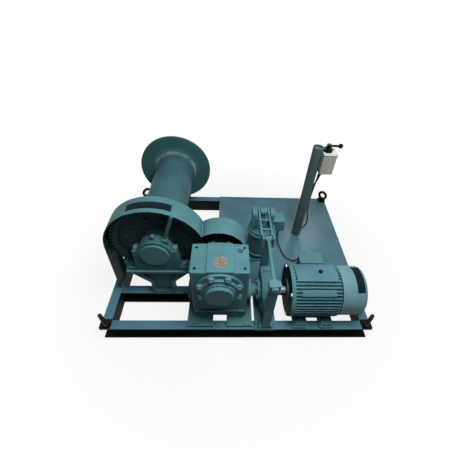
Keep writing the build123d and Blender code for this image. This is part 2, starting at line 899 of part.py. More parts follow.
def make_guard():
    """Sheet guard over both gears: open front and bottom, closed towards the drum, one leg on the left rail."""
    tip = gear_radius + gear_module
    small_x = gearbox_x + small_guard_shift
    small_z = wheel_z + small_guard_rise
    foot = (-half_width + guard_leg_inset, rail_top)

    def region(shrink, y):
        big = tip + guard_gap + guard_sheet - shrink
        small = small_guard_radius - shrink
        reach = math.hypot(foot[0] + shrink - drum_x, foot[1] - drum_z)
        lean = math.atan2(foot[1] - drum_z, foot[0] + shrink - drum_x) - math.acos(big / reach)
        touch = (drum_x + big * math.cos(lean), drum_z + big * math.sin(lean))
        skirt = [
            touch, (foot[0] + shrink, foot[1]), (small_x + small, rail_top), (small_x + small, small_z),
            (small_x, small_z), (drum_x, drum_z),
        ]
        return bar_y(drum_x, y, drum_z, big) + bar_y(small_x, y, small_z, small) + prism_y(skirt, y)

    depth = (guard_front, guard_back)
    right_side = small_x + small_guard_radius
    shell = region(0.0, depth) - region(guard_sheet, (guard_front - over, guard_back - guard_sheet))
    shell -= block((drum_x - tip, right_side - guard_sheet), wider(depth), (0.0, drum_z - guard_skirt))
    shell -= bar_y(drum_x, (guard_front, guard_back + over), drum_z, barrel_radius + guard_gap)
    shell -= bar_y(gearbox_x, (guard_front, guard_back + over), wheel_z, wheel_bore + guard_gap)
    right_leg = (right_side - 2 * guard_sheet, right_side + over)
    shell -= block(right_leg, (guard_front - over, deck_front), (0.0, wheel_z - pinion_radius))
    shell -= block(right_leg, (deck_front - over, guard_back + over), (0.0, deck_top))
    plate_x = (-half_width + guard_foot_inset, foot[0] + guard_sheet)
    plate_z = (rail_top, rail_top + guard_sheet)
    shell += block(plate_x, depth, plate_z)
    return shell - bolt_holes(bolt_places["guard"], small_bolt, wider(plate_z))


def make_stay():
    """Flat stay from the front bearing's cap up to the guard's front edge."""
    rim = gear_radius + gear_module + guard_gap + guard_sheet
    top_x = drum_x + stay_top_offset
    top_z = drum_z + math.sqrt(rim ** 2 - (stay_top_offset + stay_width / 2) ** 2)
    low_x = drum_x + stay_low_offset
    outline = [
        (low_x - stay_width / 2, cap_top), (low_x + stay_width / 2, cap_top),
        (top_x + stay_width / 2, top_z), (top_x - stay_width / 2, top_z),
    ]
    return prism_y(outline, (guard_front - stay_thickness, guard_front))


# Worm gearbox
def make_housing():
    """Gearbox housing on two footed legs, with round cover seats, open at the top and at both sides."""
    half = housing_width / 2
    y = (housing_front, housing_back)
    shell = block(housing_sides, y, (rail_top + belly_height, housing_top))
    shell = fillet(shell.edges().filter_by(Axis.Z), housing_corner)
    for face, out, boss, cap in cover_sides:
        shell += bar_y(gearbox_x, sorted((face, face + out * cover_seat)), wheel_z, cover_seat_radius)
    foot_y = (front + foot_front_inset, front_bearing_y + foot_rear_reach)
    pad_y = (housing_front - foot_pad_depth, housing_front + housing_corner)
    for sx in (-1, 1):
        leg = sorted((gearbox_x + sx * foot_arch_half, gearbox_x + sx * (half - housing_corner)))
        foot = sorted((gearbox_x + sx * foot_arch_half, gearbox_x + sx * foot_half_width))
        pad_edges = (foot_arch_half + foot_pad_inner, half - foot_pad_outer)
        pad = sorted(gearbox_x + sx * edge for edge in pad_edges)
        boss = sorted((gearbox_x + sx * (half - over), gearbox_x + sx * worm_face))
        shell += block(leg, y, (rail_top, rail_top + belly_height + over))
        shell += block(foot, foot_y, (rail_top, rail_top + foot_thickness))
        shell += block(pad, pad_y, (rail_top + foot_thickness - over, rail_top + foot_pad_height))
        shell += bar_x(boss, axis_y, axis_z, worm_boss_radius)
    ledge_x = (housing_sides[0] + ledge_depth, housing_sides[1] - ledge_depth)
    ledge_z = (rail_top + ledge_height, rail_top + ledge_height + ledge_depth)
    shell += block(ledge_x, (housing_front - ledge_depth, housing_front + over), ledge_z)
    cavity_x = (housing_sides[0] + housing_wall, housing_sides[1] - housing_wall)
    cavity_y = (y[0] + housing_wall, y[1] - housing_wall)
    shell -= block(cavity_x, cavity_y, (rail_top + belly_height + housing_wall, housing_top + over))
    bore = wider((gearbox_x - worm_face, gearbox_x + worm_face))
    shell -= bar_x(bore, axis_y, axis_z, worm_bearing_radius)
    shell -= bar_y(gearbox_x, wider((y[0] - cover_seat, y[1] + cover_seat)), wheel_z, spigot_radius)
    return shell - bolt_holes(bolt_places["gearbox"], frame_bolt, wider((rail_top, rail_top + foot_thickness)))


def make_top_cover():
    """Top cover with rounded edges, a raised middle panel and four sunk screw holes."""
    top = housing_top + top_cover
    y = (housing_front, housing_back)
    panel_x = (gearbox_x - panel_half_width, gearbox_x + panel_half_width)
    cover = eased_block(housing_sides, y, (housing_top, top), housing_corner, cover_easing)
    cover += eased_block(panel_x, y, (housing_top, top + panel_rise), cover_easing, cover_easing / 2)
    holes = [
        bar_z(px, py, (housing_top + screw_floor, top + over), small_bolt * 0.8)
        for px, py in bolt_places["top_cover"]
    ]
    return cover - holes


def cover_bolt_places():
    """Offsets of the bolts of one side cover."""
    return ring_places(cover_bolts_count, cover_bolt_circle, 180.0 / cover_bolts_count)


def side_cover(face, out, boss):
    """Round side cover with a scalloped flange, a spigot in the wall and a boss round the bearing."""
    seat = face + out * cover_seat
    inner = face - out * housing_wall
    top = seat + out * cover_thickness
    cover = bar_y(gearbox_x, sorted((seat, top)), wheel_z, cover_radius)
    cover += bar_y(gearbox_x, sorted((inner, seat + out * over)), wheel_z, spigot_radius)
    cover += bar_y(gearbox_x, sorted((seat, top + out * boss)), wheel_z, cover_boss_radius)
    for dx, dz in cover_bolt_places():
        cover += bar_y(gearbox_x + dx, sorted((seat, top)), wheel_z + dz, lobe_radius)
    pocket = inner + out * wheel_bearing_width
    cover -= bar_y(gearbox_x, sorted((inner - out * over, pocket)), wheel_z, wheel_bearing_radius)
    bore = sorted((pocket - out * over, top + out * (boss + over)))
    return cover - bar_y(gearbox_x, bore, wheel_z, wheel_bore + cover_bore_gap)


def make_gearbox_fittings():
    """Side covers, end caps and bearings of the gearbox, and the closed cover of the front drum bearing."""
    covers, caps, bearings = [], [], []
    for face, out, boss, thickness in cover_sides:
        covers.append(side_cover(face, out, boss))
        start = face + out * (cover_seat + cover_thickness + boss)
        reach = sorted((start, start + out * thickness))
        cap = bar_y(gearbox_x, reach, wheel_z, end_cap_radius)
        cap = rounded_end(cap, Axis.Y, 0 if out < 0 else -1, cap_easing)
        if out > 0:
            cap -= bar_y(gearbox_x, wider(reach), wheel_z, wheel_bore + seal_clearance)
        caps.append(cap)
        inner = face - out * housing_wall
        seat = sorted((inner, inner + out * wheel_bearing_width))
        ring = bar_y(gearbox_x, seat, wheel_z, wheel_bearing_radius)
        bearings.append(ring - bar_y(gearbox_x, wider(seat), wheel_z, wheel_bore + running_clearance))
    for sx in (-1, 1):
        outer = gearbox_x + sx * worm_face
        reach = sorted((outer, outer + sx * worm_cap))
        cap = bar_x(reach, axis_y, axis_z, worm_boss_radius)
        cap = rounded_end(cap, Axis.X, 0 if sx < 0 else -1, cap_easing)
        if sx > 0:
            cap -= bar_x(wider(reach), axis_y, axis_z, worm_end_radius + seal_clearance)
        caps.append(cap)
        seat = sorted((outer, outer - sx * worm_bearing_width))
        ring = bar_x(seat, axis_y, axis_z, worm_bearing_radius)
        bearings.append(ring - bar_x(wider(seat), axis_y, axis_z, worm_journal + running_clearance))
    bearing_face = front_bearing_y - bearing_length / 2
    disc = bar_y(drum_x, (bearing_face - bearing_cover, bearing_face), drum_z, bearing_cover_radius)
    caps.append(rounded_end(disc, Axis.Y, 0, cap_easing))
    return group(covers), group(caps), group(bearings)


def make_plugs():
    """Breather, drain and level plugs of the gearbox, and the grease cups of the drum bearings."""
    x = gearbox_x + (panel_half_width + housing_width / 2) / 2
    y = axis_y + housing_depth / 4
    seat = housing_top + top_cover
    side = housing_sides[0]
    left = (-1, 0, 0)
    breather = hexagon((x, y, seat), (0, 0, 1), plug_across, plug_height)
    breather += bar_z(x, y, (seat + plug_height - over, seat + plug_height + breather_cap), breather_cap_radius)
    drain = hexagon((side, y, rail_top + belly_height + drain_height), left, plug_across, plug_height)
    level = hexagon((side, axis_y - housing_depth / 4, axis_z + level_height), left, plug_across, plug_height)
    plugs = [breather, drain, level]
    foot = cap_top - spot_face
    top = foot + grease_cup_height
    for bearing_y in (front_bearing_y, rear_bearing_y):
        cup = hexagon((drum_x, bearing_y, foot), (0, 0, 1), 1.6 * grease_cup_radius, grease_cup_height)
        cup += bar_z(drum_x, bearing_y, (foot + 0.4 * grease_cup_height, top), grease_cup_radius)
        plugs.append(cup)
    return group(plugs)


def make_cover_bolts():
    """Bolt heads on the gearbox covers and the motor's drive-end shield."""
    bolts = []
    for face, out, boss, thickness in cover_sides:
        seat = face + out * (cover_seat + cover_thickness)
        for dx, dz in cover_bolt_places():
            bolts.append(hex_head((gearbox_x + dx, seat, wheel_z + dz), (0, out, 0), small_bolt))
    floor = housing_top + screw_floor
    bolts += [bar_z(x, y, (floor, floor + screw_floor), small_bolt * 0.7) for x, y in bolt_places["top_cover"]]
    shield_face = frame_start - shield_thickness
    for dy, dz in ring_places(shield_bolts, shield_flange_radius - shield_bolt_inset, 180.0 / shield_bolts):
        bolts.append(hex_head((shield_face, axis_y + dy, axis_z + dz), (-1, 0, 0), small_bolt))
    return group(bolts)


def make_worm_shaft():
    """Worm shaft: journals, thread and the end that carries the coupling."""
    lead = math.pi * worm_module
    root = worm_pitch_radius - 1.2 * worm_module
    tip = worm_pitch_radius + worm_module
    half_pitch = lead * tooth_share / 2
    slope = math.tan(math.radians(pressure_angle))
    half_root = half_pitch + (worm_pitch_radius - root) * slope
    half_tip = half_pitch - (tip - worm_pitch_radius) * slope
    height = worm_turns * lead
    path = Helix(lead, height, root)
    section = make_face(Polyline(
        (root - over, 0, -half_root), (tip, 0, -half_tip), (tip, 0, half_tip), (root - over, 0, half_root),
        close=True,
    ))
    thread = sweep(section, path, is_frenet=True)
    thread = Pos(gearbox_x - height / 2, axis_y, axis_z) * Rot(0, 90, 0) * thread
    core_end = height / 2 + half_root + 2 * over
    journal_end = worm_face - over
    shaft = bar_x((gearbox_x - core_end, gearbox_x + core_end), axis_y, axis_z, root)
    shaft += bar_x((gearbox_x - journal_end, gearbox_x + journal_end), axis_y, axis_z, worm_journal)
    shaft += bar_x((gearbox_x, drum_left - coupling_gap), axis_y, axis_z, worm_end_radius)
    return shaft + thread


def make_worm_wheel():
    """Worm wheel: straight narrow teeth on a rim, a web and a hub."""
    step = 2 * math.pi / wheel_teeth
    tip = wheel_radius + worm_module
    root = wheel_radius - 1.2 * worm_module
    slope = math.tan(math.radians(pressure_angle))
    half_pitch = math.pi * worm_module * tooth_share / 2
    half_root = half_pitch + (wheel_radius - root) * slope
    half_tip = half_pitch - worm_module * slope
    points = []
    for tooth in range(wheel_teeth):
        middle = -math.pi / 2 + tooth * step
        for radius, half in ((root, -half_root), (tip, -half_tip), (tip, half_tip), (root, half_root)):
            turn = middle + half / radius
            points.append((gearbox_x + radius * math.cos(turn), wheel_z + radius * math.sin(turn)))
    hub_reach = (axis_y - wheel_face, axis_y + wheel_face)
    wheel = prism_y(points, (axis_y - wheel_face / 2, axis_y + wheel_face / 2))
    wheel += bar_y(gearbox_x, hub_reach, wheel_z, wheel_bore + wheel_hub_wall)
    return wheel - bar_y(gearbox_x, wider(hub_reach), wheel_z, wheel_bore)


def make_output_shaft():
    """Shaft of the worm wheel, carried through the rear cover to the pinion."""
    start = housing_front + housing_wall - wheel_bearing_width + shaft_recess
    return bar_y(gearbox_x, (start, pinion_face[1]), wheel_z, wheel_bore)


def make_pinion():
    """Pinion on the output shaft, in mesh with the bull gear."""
    phase = math.atan2(drum_z - wheel_z, drum_x - gearbox_x) + math.pi / pinion_teeth
    outline = gear_outline((gearbox_x, wheel_z), gear_module, pinion_teeth, gear_backlash, phase)
    return prism_y(outline, pinion_face) - bar_y(gearbox_x, wider(pinion_face), wheel_z, wheel_bore)


# Coupling and brake
def make_coupling():
    """Coupling half on the worm shaft, with its pins reaching into the brake drum's web."""
    flange = (drum_left - coupling_gap - coupling_flange, drum_left - coupling_gap)
    hub_start = gearbox_x + worm_face + worm_cap + coupling_cap_gap
    half = bar_x(flange, axis_y, axis_z, coupling_radius)
    half += bar_x((hub_start, flange[0] + over), axis_y, axis_z, coupling_hub_radius)
    for dy, dz in ring_places(coupling_pins, coupling_pin_circle):
        y, z = axis_y + dy, axis_z + dz
        half += bar_x((flange[1] - over, drum_left + brake_drum_web), y, z, coupling_pin_radius)
        half += hexagon((flange[0], y, z), (-1, 0, 0), 1.8 * coupling_pin_radius, coupling_nut)
    return half - bar_x(wider((hub_start, flange[1])), axis_y, axis_z, worm_end_radius)


def make_brake_drum():
    """Brake drum keyed to the motor's shaft end, driven through the coupling pins."""
    hub_end = motor_shoulder_x - brake_hub_gap
    web = (drum_left, drum_left + brake_drum_web)
    drum = bar_x((drum_left, drum_right), axis_y, axis_z, brake_drum_radius)
    drum -= bar_x((web[1], drum_right + over), axis_y, axis_z, brake_drum_radius - brake_drum_rim)
    drum += bar_x((drum_left + over, hub_end), axis_y, axis_z, brake_hub_radius)
    drum -= bar_x((motor_shoulder_x - motor_shaft_length, hub_end + over), axis_y, axis_z, motor_shaft_radius)
    for dy, dz in ring_places(coupling_pins, coupling_pin_circle):
        drum -= bar_x(wider(web), axis_y + dy, axis_z + dz, coupling_pin_radius + 2 * running_clearance)
    return drum


def make_brake_base():
    """Brake base plate with the lugs and pins of both arms."""
    x = (brake_x - brake_base_half, brake_x + brake_base_half)
    top = rail_top + brake_base
    base = block(x, (front_arm_y - brake_base_front, bar_back), (rail_top, top))
    lug_inner = arm_half_width + arm_side_gap
    pin_reach = lug_inner + lug_thickness + lug_pin_end
    for y in (front_arm_y, rear_arm_y):
        for sx in (-1, 1):
            lug = sorted((brake_x + sx * lug_inner, brake_x + sx * (lug_inner + lug_thickness)))
            base += block(lug, (y - lug_radius, y + lug_radius), (top - over, arm_pivot_z))
            base += bar_x(lug, y, arm_pivot_z, lug_radius)
        base += bar_x((brake_x - pin_reach, brake_x + pin_reach), y, arm_pivot_z, pin_radius)
    return base - bolt_holes(bolt_places["brake"], brake_bolt, wider((rail_top, top)))


def make_arm(y, top):
    """Upright brake arm with rounded ends and its pivot hole."""
    x = (brake_x - arm_half_width, brake_x + arm_half_width)
    half = arm_thickness / 2
    arm = block(x, (y - half, y + half), (arm_pivot_z, top))
    arm += bar_x(x, y, arm_pivot_z, half)
    arm += bar_x(x, y, top, half)
    return arm - bar_x(wider(x), y, arm_pivot_z, pin_radius + running_clearance)


def make_front_arm():
    """Front arm with the block that the tie rod passes through."""
    top = tie_rod_z - tie_rod_radius - arm_thickness / 2
    head_y = (front_arm_y - arm_head_half, front_arm_y + arm_head_half)
    head_x = (brake_x - arm_head_half_width, brake_x + arm_head_half_width)
    head = block(head_x, head_y, (top, tie_rod_z + tie_rod_radius + arm_head_wall))
    return make_arm(front_arm_y, top) + head - bar_y(brake_x, wider(head_y), tie_rod_z, tie_rod_radius)


def make_rear_arm():
    """Rear arm with the pin of the lever through its top."""
    reach = lever_inside + lever_plate / 2 + pin_end
    pin = bar_x((brake_x - reach, brake_x + reach), rear_arm_y, lever_pivot_z, pin_radius)
    return make_arm(rear_arm_y, lever_pivot_z) + pin


def make_shoe(out):
    """Brake shoe with its lining, bolted flat against its arm."""
    inner = brake_drum_radius + lining_gap
    outer = inner + lining_thickness
    x = (brake_x - shoe_width / 2, brake_x + shoe_width / 2)
    ring = bar_x(x, axis_y, axis_z, outer) - bar_x(wider(x), axis_y, axis_z, inner)
    far = axis_y + out * 2 * outer
    rise = 2 * outer * math.tan(math.radians(shoe_half_angle))
    wedge = prism_x([(axis_y, axis_z), (far, axis_z - rise), (far, axis_z + rise)], x)
    arm_face = axis_y + out * (arm_offset - arm_thickness / 2)
    pad_x = (brake_x - arm_half_width, brake_x + arm_half_width)
    pad_y = sorted((axis_y + out * (outer - shoe_pad_root), arm_face))
    pad = block(pad_x, pad_y, (axis_z - shoe_pad_half, axis_z + shoe_pad_half))
    pad -= bar_x(wider(x), axis_y, axis_z, outer - shoe_pad_root / 2)
    return (ring & wedge) + pad


def make_lever():
    """Twin-plate lever: pivot on the rear arm, trunnion for the tie rod, far end on the thruster's rod."""
    half = lever_depth / 2
    far = thruster_y + half
    near = rear_arm_y - half
    outline = [
        (near, lever_pivot_z - half), (far, knuckle_z - half), (far, knuckle_z + half),
        (rear_arm_y + 2 * half, lever_pivot_z + half), (rear_arm_y + half, tie_rod_z + half),
        (near, tie_rod_z + half),
    ]
    plates = []
    for sx in (-1, 1):
        centre = brake_x + sx * lever_inside
        reach = (centre - lever_plate / 2, centre + lever_plate / 2)
        plate = prism_x(outline, reach)
        plate -= bar_x(wider(reach), rear_arm_y, lever_pivot_z, pin_radius + running_clearance)
        plate -= bar_x(wider(reach), thruster_y, knuckle_z, pin_radius + trunnion_clearance / 2)
        plates.append(plate)
    across = (brake_x - lever_inside, brake_x + lever_inside)
    lever = plates[0] + plates[1] + bar_x(across, rear_arm_y, tie_rod_z, pin_radius)
    for share in spacer_shares:
        lever += bar_x(across, rear_arm_y + (thruster_y - rear_arm_y) * share, lever_pivot_z, pin_radius)
    return lever


def make_tie_rod():
    """Tie rod from the front arm's block to the lever's trunnion, with nuts at the block and a loose eye."""
    eye_half = arm_half_width - tie_eye_gap
    eye_x = (brake_x - eye_half, brake_x + eye_half)
    hole = pin_radius + trunnion_clearance
    start = front_arm_y - arm_head_half - tie_rod_tail
    tie = bar_y(brake_x, (start, rear_arm_y - hole), tie_rod_z, tie_rod_radius)
    tie += bar_x(eye_x, rear_arm_y, tie_rod_z, hole + tie_eye_wall)
    tie -= bar_x(wider(eye_x), rear_arm_y, tie_rod_z, hole)
    for place, out in ((front_arm_y - arm_head_half, -1), (front_arm_y + arm_head_half, 1)):
        tie += hexagon((brake_x, place, tie_rod_z), (0, out, 0), 3.2 * tie_rod_radius, 1.4 * tie_rod_radius)
    return tie


def make_thruster():
    """Thruster body with base, rims, head, terminal box and two cheeks, and the rod that lifts the lever."""
    half = thruster_radius + thruster_base_edge
    upper = thruster_top - upper_rim_drop
    lower = thruster_foot + lower_rim_rise
    rim = thruster_radius + thruster_rim
    base_x = (brake_x - half, brake_x + half)
    body = block(base_x, (thruster_y - half, thruster_y + half), (deck_top, thruster_foot))
    body += bar_z(brake_x, thruster_y, (thruster_foot - over, thruster_top), thruster_radius)
    body += bar_z(brake_x, thruster_y, (upper, upper + upper_rim), rim)
    body += bar_z(brake_x, thruster_y, (lower, lower + lower_rim), rim)
    head_z = (thruster_top - over, thruster_top + thruster_head)
    body += bar_z(brake_x, thruster_y, head_z, thruster_head_radius)
    body += bar_z(brake_x, thruster_y, (thruster_top, thruster_top + rod_guide), rod_guide_radius)
    box_x = (box_corner[0], box_corner[0] + thruster_box_size)
    box_y = (box_corner[1], box_corner[1] + thruster_box_size)
    body += block(box_x, box_y, (box_low, box_low + thruster_box_height))
    bore = (thruster_top - rod_depth, thruster_top + rod_guide + over)
    body -= bar_z(brake_x, thruster_y, bore, rod_radius + running_clearance)
    body -= bolt_holes(bolt_places["thruster"], small_bolt, wider((deck_top, thruster_foot)))
    solids = [body]
    for sx in (-1, 1):
        cheek_x = sorted((brake_x + sx * cheek_gap, brake_x + sx * (cheek_gap + cheek_width)))
        cheek_y = (thruster_y - cheek_depth / 2, thruster_y + cheek_depth / 2)
        cheek = block(cheek_x, cheek_y, (thruster_top, knuckle_z + cheek_rise))
        top_edges = cheek.faces().sort_by(Axis.Z)[-1].edges().filter_by(Axis.X)
        solids.append(fillet(top_edges, cheek_corner))
    eye_half = arm_half_width - rod_eye_gap
    pin_reach = lever_inside + lever_plate
    piston = bar_z(brake_x, thruster_y, (bore[0] + rod_bottom_gap, knuckle_z), rod_radius)
    piston += bar_x((brake_x - eye_half, brake_x + eye_half), thruster_y, knuckle_z, rod_eye_radius)
    piston += bar_x((brake_x - pin_reach, brake_x + pin_reach), thruster_y, knuckle_z, pin_radius)
    return group(solids), piston


# Motor
def make_motor_frame():
    """Finned motor frame with four feet joined by webs and a smooth pad on top, bored for the stator."""
    x = (frame_start, frame_end)
    root_half = fin_root_thickness / 2 / motor_root_radius
    tip_half = fin_tip_thickness / 2 / motor_fin_radius
    fin = [
        (motor_root_radius, -root_half), (motor_fin_radius, -tip_half),
        (motor_fin_radius, tip_half), (motor_root_radius, root_half),
    ]
    points = []
    for i in range(motor_fins):
        for radius, half in fin:
            turn = 2 * math.pi * i / motor_fins + half
            points.append((axis_y + radius * math.cos(turn), axis_z + radius * math.sin(turn)))
    frame = prism_x(points, x)
    floor_y = (axis_y - motor_root_radius, axis_y + motor_root_radius)
    frame -= block(wider(x), floor_y, (axis_z - 2 * motor_fin_radius, bar_top + fin_floor_gap))
    spread = motor_foot_spread / 2
    step = spread - foot_step
    root = spread - foot_root_inset
    outline = [
        (spread + foot_toe, 0.0), (spread + foot_toe, motor_foot), (step, motor_foot), (step, foot_step_height),
        (root, foot_root_high), (root, foot_root_low), (spread - foot_heel, 0.0),
    ]
    for sy in (-1, 1):
        for centre in foot_places:
            width = (centre - motor_foot_half, centre + motor_foot_half)
            frame += prism_x([(axis_y + sy * py, bar_top + pz) for py, pz in outline], width)
        web_y = sorted((axis_y + sy * step, axis_y + sy * (step - foot_web)))
        frame += block((foot_places[0], foot_places[1]), web_y, (bar_top, bar_top + foot_web_height))
    pad_x = (x[0] + pad_margin, x[1] - pad_margin)
    pad = bar_x(pad_x, axis_y, axis_z, motor_fin_radius)
    pad -= bar_x(x, axis_y, axis_z, motor_root_radius - 2 * over)
    pad_angles = [math.radians(angle) for angle in (pad_start, (pad_start + pad_end) / 2, pad_end)]
    reach = 2 * motor_fin_radius
    edge = [(axis_y + reach * math.cos(angle), axis_z + reach * math.sin(angle)) for angle in pad_angles]
    frame += pad & prism_x([(axis_y, axis_z)] + edge, pad_x)
    frame -= bar_x(wider(x), axis_y, axis_z, stator_radius)
    return frame - bolt_holes(bolt_places["motor"], motor_bolt, wider((bar_top, bar_top + motor_foot)))


def make_shields():
    """Drive-end and fan-end shields with their bearing seats, and the bearings."""
    drive_face = frame_start - shield_thickness
    fan_face = frame_end + shield_thickness
    fan_seat = fan_face - shield_lip
    shaft_hole = motor_journal + seal_clearance
    boss = motor_bearing_radius + bearing_boss_wall
    drive = bar_x((drive_face, frame_start), axis_y, axis_z, shield_flange_radius)
    drive += bar_x((motor_shoulder_x + shield_lip, drive_face + over), axis_y, axis_z, boss)
    drive += bar_x((frame_start - over, frame_start + shield_spigot), axis_y, axis_z, stator_radius)
    drive -= bar_x((drive_face, frame_start + shield_spigot + over), axis_y, axis_z, motor_bearing_radius)
    drive -= bar_x((motor_shoulder_x, drive_face + over), axis_y, axis_z, shaft_hole)
    fan = bar_x((frame_end, fan_face), axis_y, axis_z, cowl_radius - cowl_wall)
    fan += bar_x((frame_end - shield_spigot, frame_end + over), axis_y, axis_z, stator_radius)
    fan -= bar_x((frame_end - shield_spigot - over, fan_seat), axis_y, axis_z, motor_bearing_radius)
    fan -= bar_x((frame_end, fan_face + over), axis_y, axis_z, shaft_hole)
    bearings = []
    for seat in ((drive_face, drive_face + motor_bearing_width), (fan_seat - motor_bearing_width, fan_seat)):
        ring = bar_x(seat, axis_y, axis_z, motor_bearing_radius)
        bearings.append(ring - bar_x(wider(seat), axis_y, axis_z, motor_journal + running_clearance))
    return drive, fan, group(bearings)


def make_stator():
    """Stator core pressed into the frame."""
    bore = bar_x(wider(core_reach), axis_y, axis_z, rotor_radius + air_gap)
    return bar_x(core_reach, axis_y, axis_z, stator_radius) - bore


def make_rotor():
    """Rotor core on the motor shaft."""
    shaft_end = (motor_shoulder_x - motor_shaft_length, motor_shoulder_x + over)
    shaft = bar_x(shaft_end, axis_y, axis_z, motor_shaft_radius)
    shaft += bar_x((motor_shoulder_x, fan_start + fan_width), axis_y, axis_z, motor_journal)
    return shaft + bar_x(core_reach, axis_y, axis_z, rotor_radius)


def make_fan():
    """Cooling fan on the shaft's rear end."""
    x = (fan_start, fan_start + fan_width)
    blade_y = (axis_y - fan_plate / 2, axis_y + fan_plate / 2)
    fan = bar_x(x, axis_y, axis_z, motor_journal + fan_hub_wall)
    fan += bar_x((x[0], x[0] + fan_plate), axis_y, axis_z, fan_radius)
    blade = block(x, blade_y, (axis_z + motor_journal + fan_hub_wall / 2, axis_z + fan_radius))
    turn = Axis((0, axis_y, axis_z), (1, 0, 0))
    for i in range(fan_blades):
        fan += blade.rotate(turn, 360.0 * i / fan_blades)
    return fan - bar_x(wider(x), axis_y, axis_z, motor_journal)


def make_cowl():
    """Fan cowl: thin drum with a rounded end and rings of air holes."""

    def cup(radius, start, end, corner):
        return rounded_end(bar_x((start, end), axis_y, axis_z, radius), Axis.X, -1, corner)

    inner = cowl_radius - cowl_wall
    cowl = cup(cowl_radius, cowl_start, cowl_end, cowl_corner)
    cowl -= cup(inner, cowl_start - over, cowl_end - cowl_wall, cowl_corner - cowl_wall)
    holes = []
    pitch = 3 * cowl_hole_radius
    rings = int((inner - cowl_corner - 2 * cowl_hole_radius) / pitch)
    for ring in range(1, rings + 1):
        for dy, dz in ring_places(6 * ring, ring * pitch):
            reach = (cowl_end - 2 * cowl_wall, cowl_end + over)
            holes.append(bar_x(reach, axis_y + dy, axis_z + dz, cowl_hole_radius))
    return cowl - holes


def make_terminal_box():
    """Terminal box saddled on the rear shoulder of the motor, and its lid."""
    x = (motor_shoulder_x + terminal_start, motor_shoulder_x + terminal_start + terminal_width)
    y = (axis_y + terminal_front, axis_y + terminal_back)
    z = (axis_z + terminal_bottom, axis_z + terminal_top)
    lid_x = (x[0] - terminal_lid_lap, x[1] + terminal_lid_lap)
    box = block(x, y, z)
    lid = block(lid_x, (y[0], y[1] + terminal_lid_lap), (z[1], z[1] + terminal_lid))
    box, lid = [fillet(b.edges().filter_by(Axis.Z).sort_by(Axis.Y)[-2:], terminal_corner) for b in (box, lid)]
    return box - bar_x(wider(x), axis_y, axis_z, motor_fin_radius + running_clearance), lid


def make_motor_bars():
    """Packing bars between the rails and the motor's feet, tapped for the foot bolts."""
    bars = []
    for centre in foot_places:
        bar_x_reach = (centre - bar_half_width, centre + bar_half_width)
        bar = block(bar_x_reach, (front + bar_inset, bar_back), (rail_top, bar_top))
        places = [place for place in bolt_places["motor"] if place[0] == centre]
        bars.append(bar - bolt_holes(places, motor_bolt, (rail_top + drill_tip, bar_top + over)))
    return group(bars)


# Control post and cables
def tube(points):
    """Round cable along a route, each bend as wide as its shorter run allows."""
    stops = [Vector(*point) for point in points]
    bends = []
    for before, corner, after in zip(stops, stops[1:], stops[2:]):
        turn = (corner - before).get_angle(after - corner)
        shorter = min((corner - before).length, (after - corner).length)
        bends.append(0.45 * shorter / math.tan(math.radians(turn) / 2))
    section = Plane(stops[0], z_dir=stops[1] - stops[0]) * Circle(cable_radius)
    return sweep(section, FilletPolyline(*stops, radius=bends))


def cable_hole(points):
    """Slanted hole round the last run of a cable."""
    start = Vector(*points[-2])
    line = Vector(*points[-1]) - start
    return rod(tuple(start + line * 0.3), tuple(start + line * 0.98), cable_radius + cable_hole_gap)


def make_post():
    """Round control post with a sunk plug, a bracket for the switch and two holes for its cables."""
    inner = post_radius - post_wall
    plug = (post_top - post_cap_recess - post_cap, post_top - post_cap_recess)
    wall = bar_z(post_x, post_y, (deck_top, post_top), post_radius)
    wall -= bar_z(post_x, post_y, (deck_top - over, plug[0]), inner)
    wall -= bar_z(post_x, post_y, (plug[1], post_top + over), inner)
    bracket_x = (post_x + post_radius - bracket_thickness, switch_left)
    bracket_y = (post_y - bracket_half_width, post_y + bracket_half_width)
    bracket = block(bracket_x, bracket_y, (switch_bottom + bracket_margin, switch_top - bracket_margin))
    bracket -= bar_z(post_x, post_y, (deck_top, post_top), inner)
    return wall + bracket - cable_hole(cable_entry) - cable_hole(cable_run)


def make_switch_box():
    """Rotary switch case with a wider lid, bored for the spindle."""
    x = (switch_left, switch_left + switch_width)
    y = (post_y - switch_depth / 2, post_y + switch_depth / 2)
    lid_y = (y[0] - switch_lid_lap, y[1] + switch_lid_lap)
    case = block(x, y, (switch_bottom, switch_top - switch_lid))
    case = fillet(case.edges().filter_by(Axis.Z), switch_corner)
    case += block((x[0], x[1] + switch_lid_lap), lid_y, (switch_top - switch_lid, switch_top))
    bore = (switch_top - spindle_depth - spindle_end_gap, switch_top + over)
    return case - bar_z(handle_x, handle_y, bore, spindle_radius + running_clearance)


def make_handle():
    """Switch handle: spindle, disc, hub, lever and ball."""
    low = switch_top + disc_gap
    disc_top = low + disc_height
    lever_z = disc_top + handle_rise
    hub_top = lever_z + handle_radius + handle_hub_rise
    end = handle_x + handle_reach
    handle = bar_z(handle_x, handle_y, (switch_top - spindle_depth, low + over), spindle_radius)
    handle += bar_z(handle_x, handle_y, (low, disc_top), disc_radius)
    handle += bar_z(handle_x, handle_y, (disc_top - over, hub_top), 2 * handle_radius)
    handle += bar_x((handle_x, end), handle_y, lever_z, handle_radius)
    return handle + Pos(end, handle_y, lever_z) * Sphere(ball_radius)


def make_glands():
    """Cable glands on the switch and on both terminal boxes."""
    glands = []
    nut_across = 2.4 * gland_radius
    for x, y, z in (cable_entry[0], cable_run[0], brake_gland):
        nut_z = z + gland_length - gland_nut
        gland = bar_z(x, y, (z, nut_z), gland_radius)
        glands.append(gland + hexagon((x, y, nut_z), (0, 0, 1), nut_across, gland_nut))
    x, y, z = motor_gland
    gland = bar_y(x, (y + gland_nut, y + gland_length), z, gland_radius)
    glands.append(gland + hexagon((x, y, z), (0, 1, 0), nut_across, gland_nut))
    return group(glands)


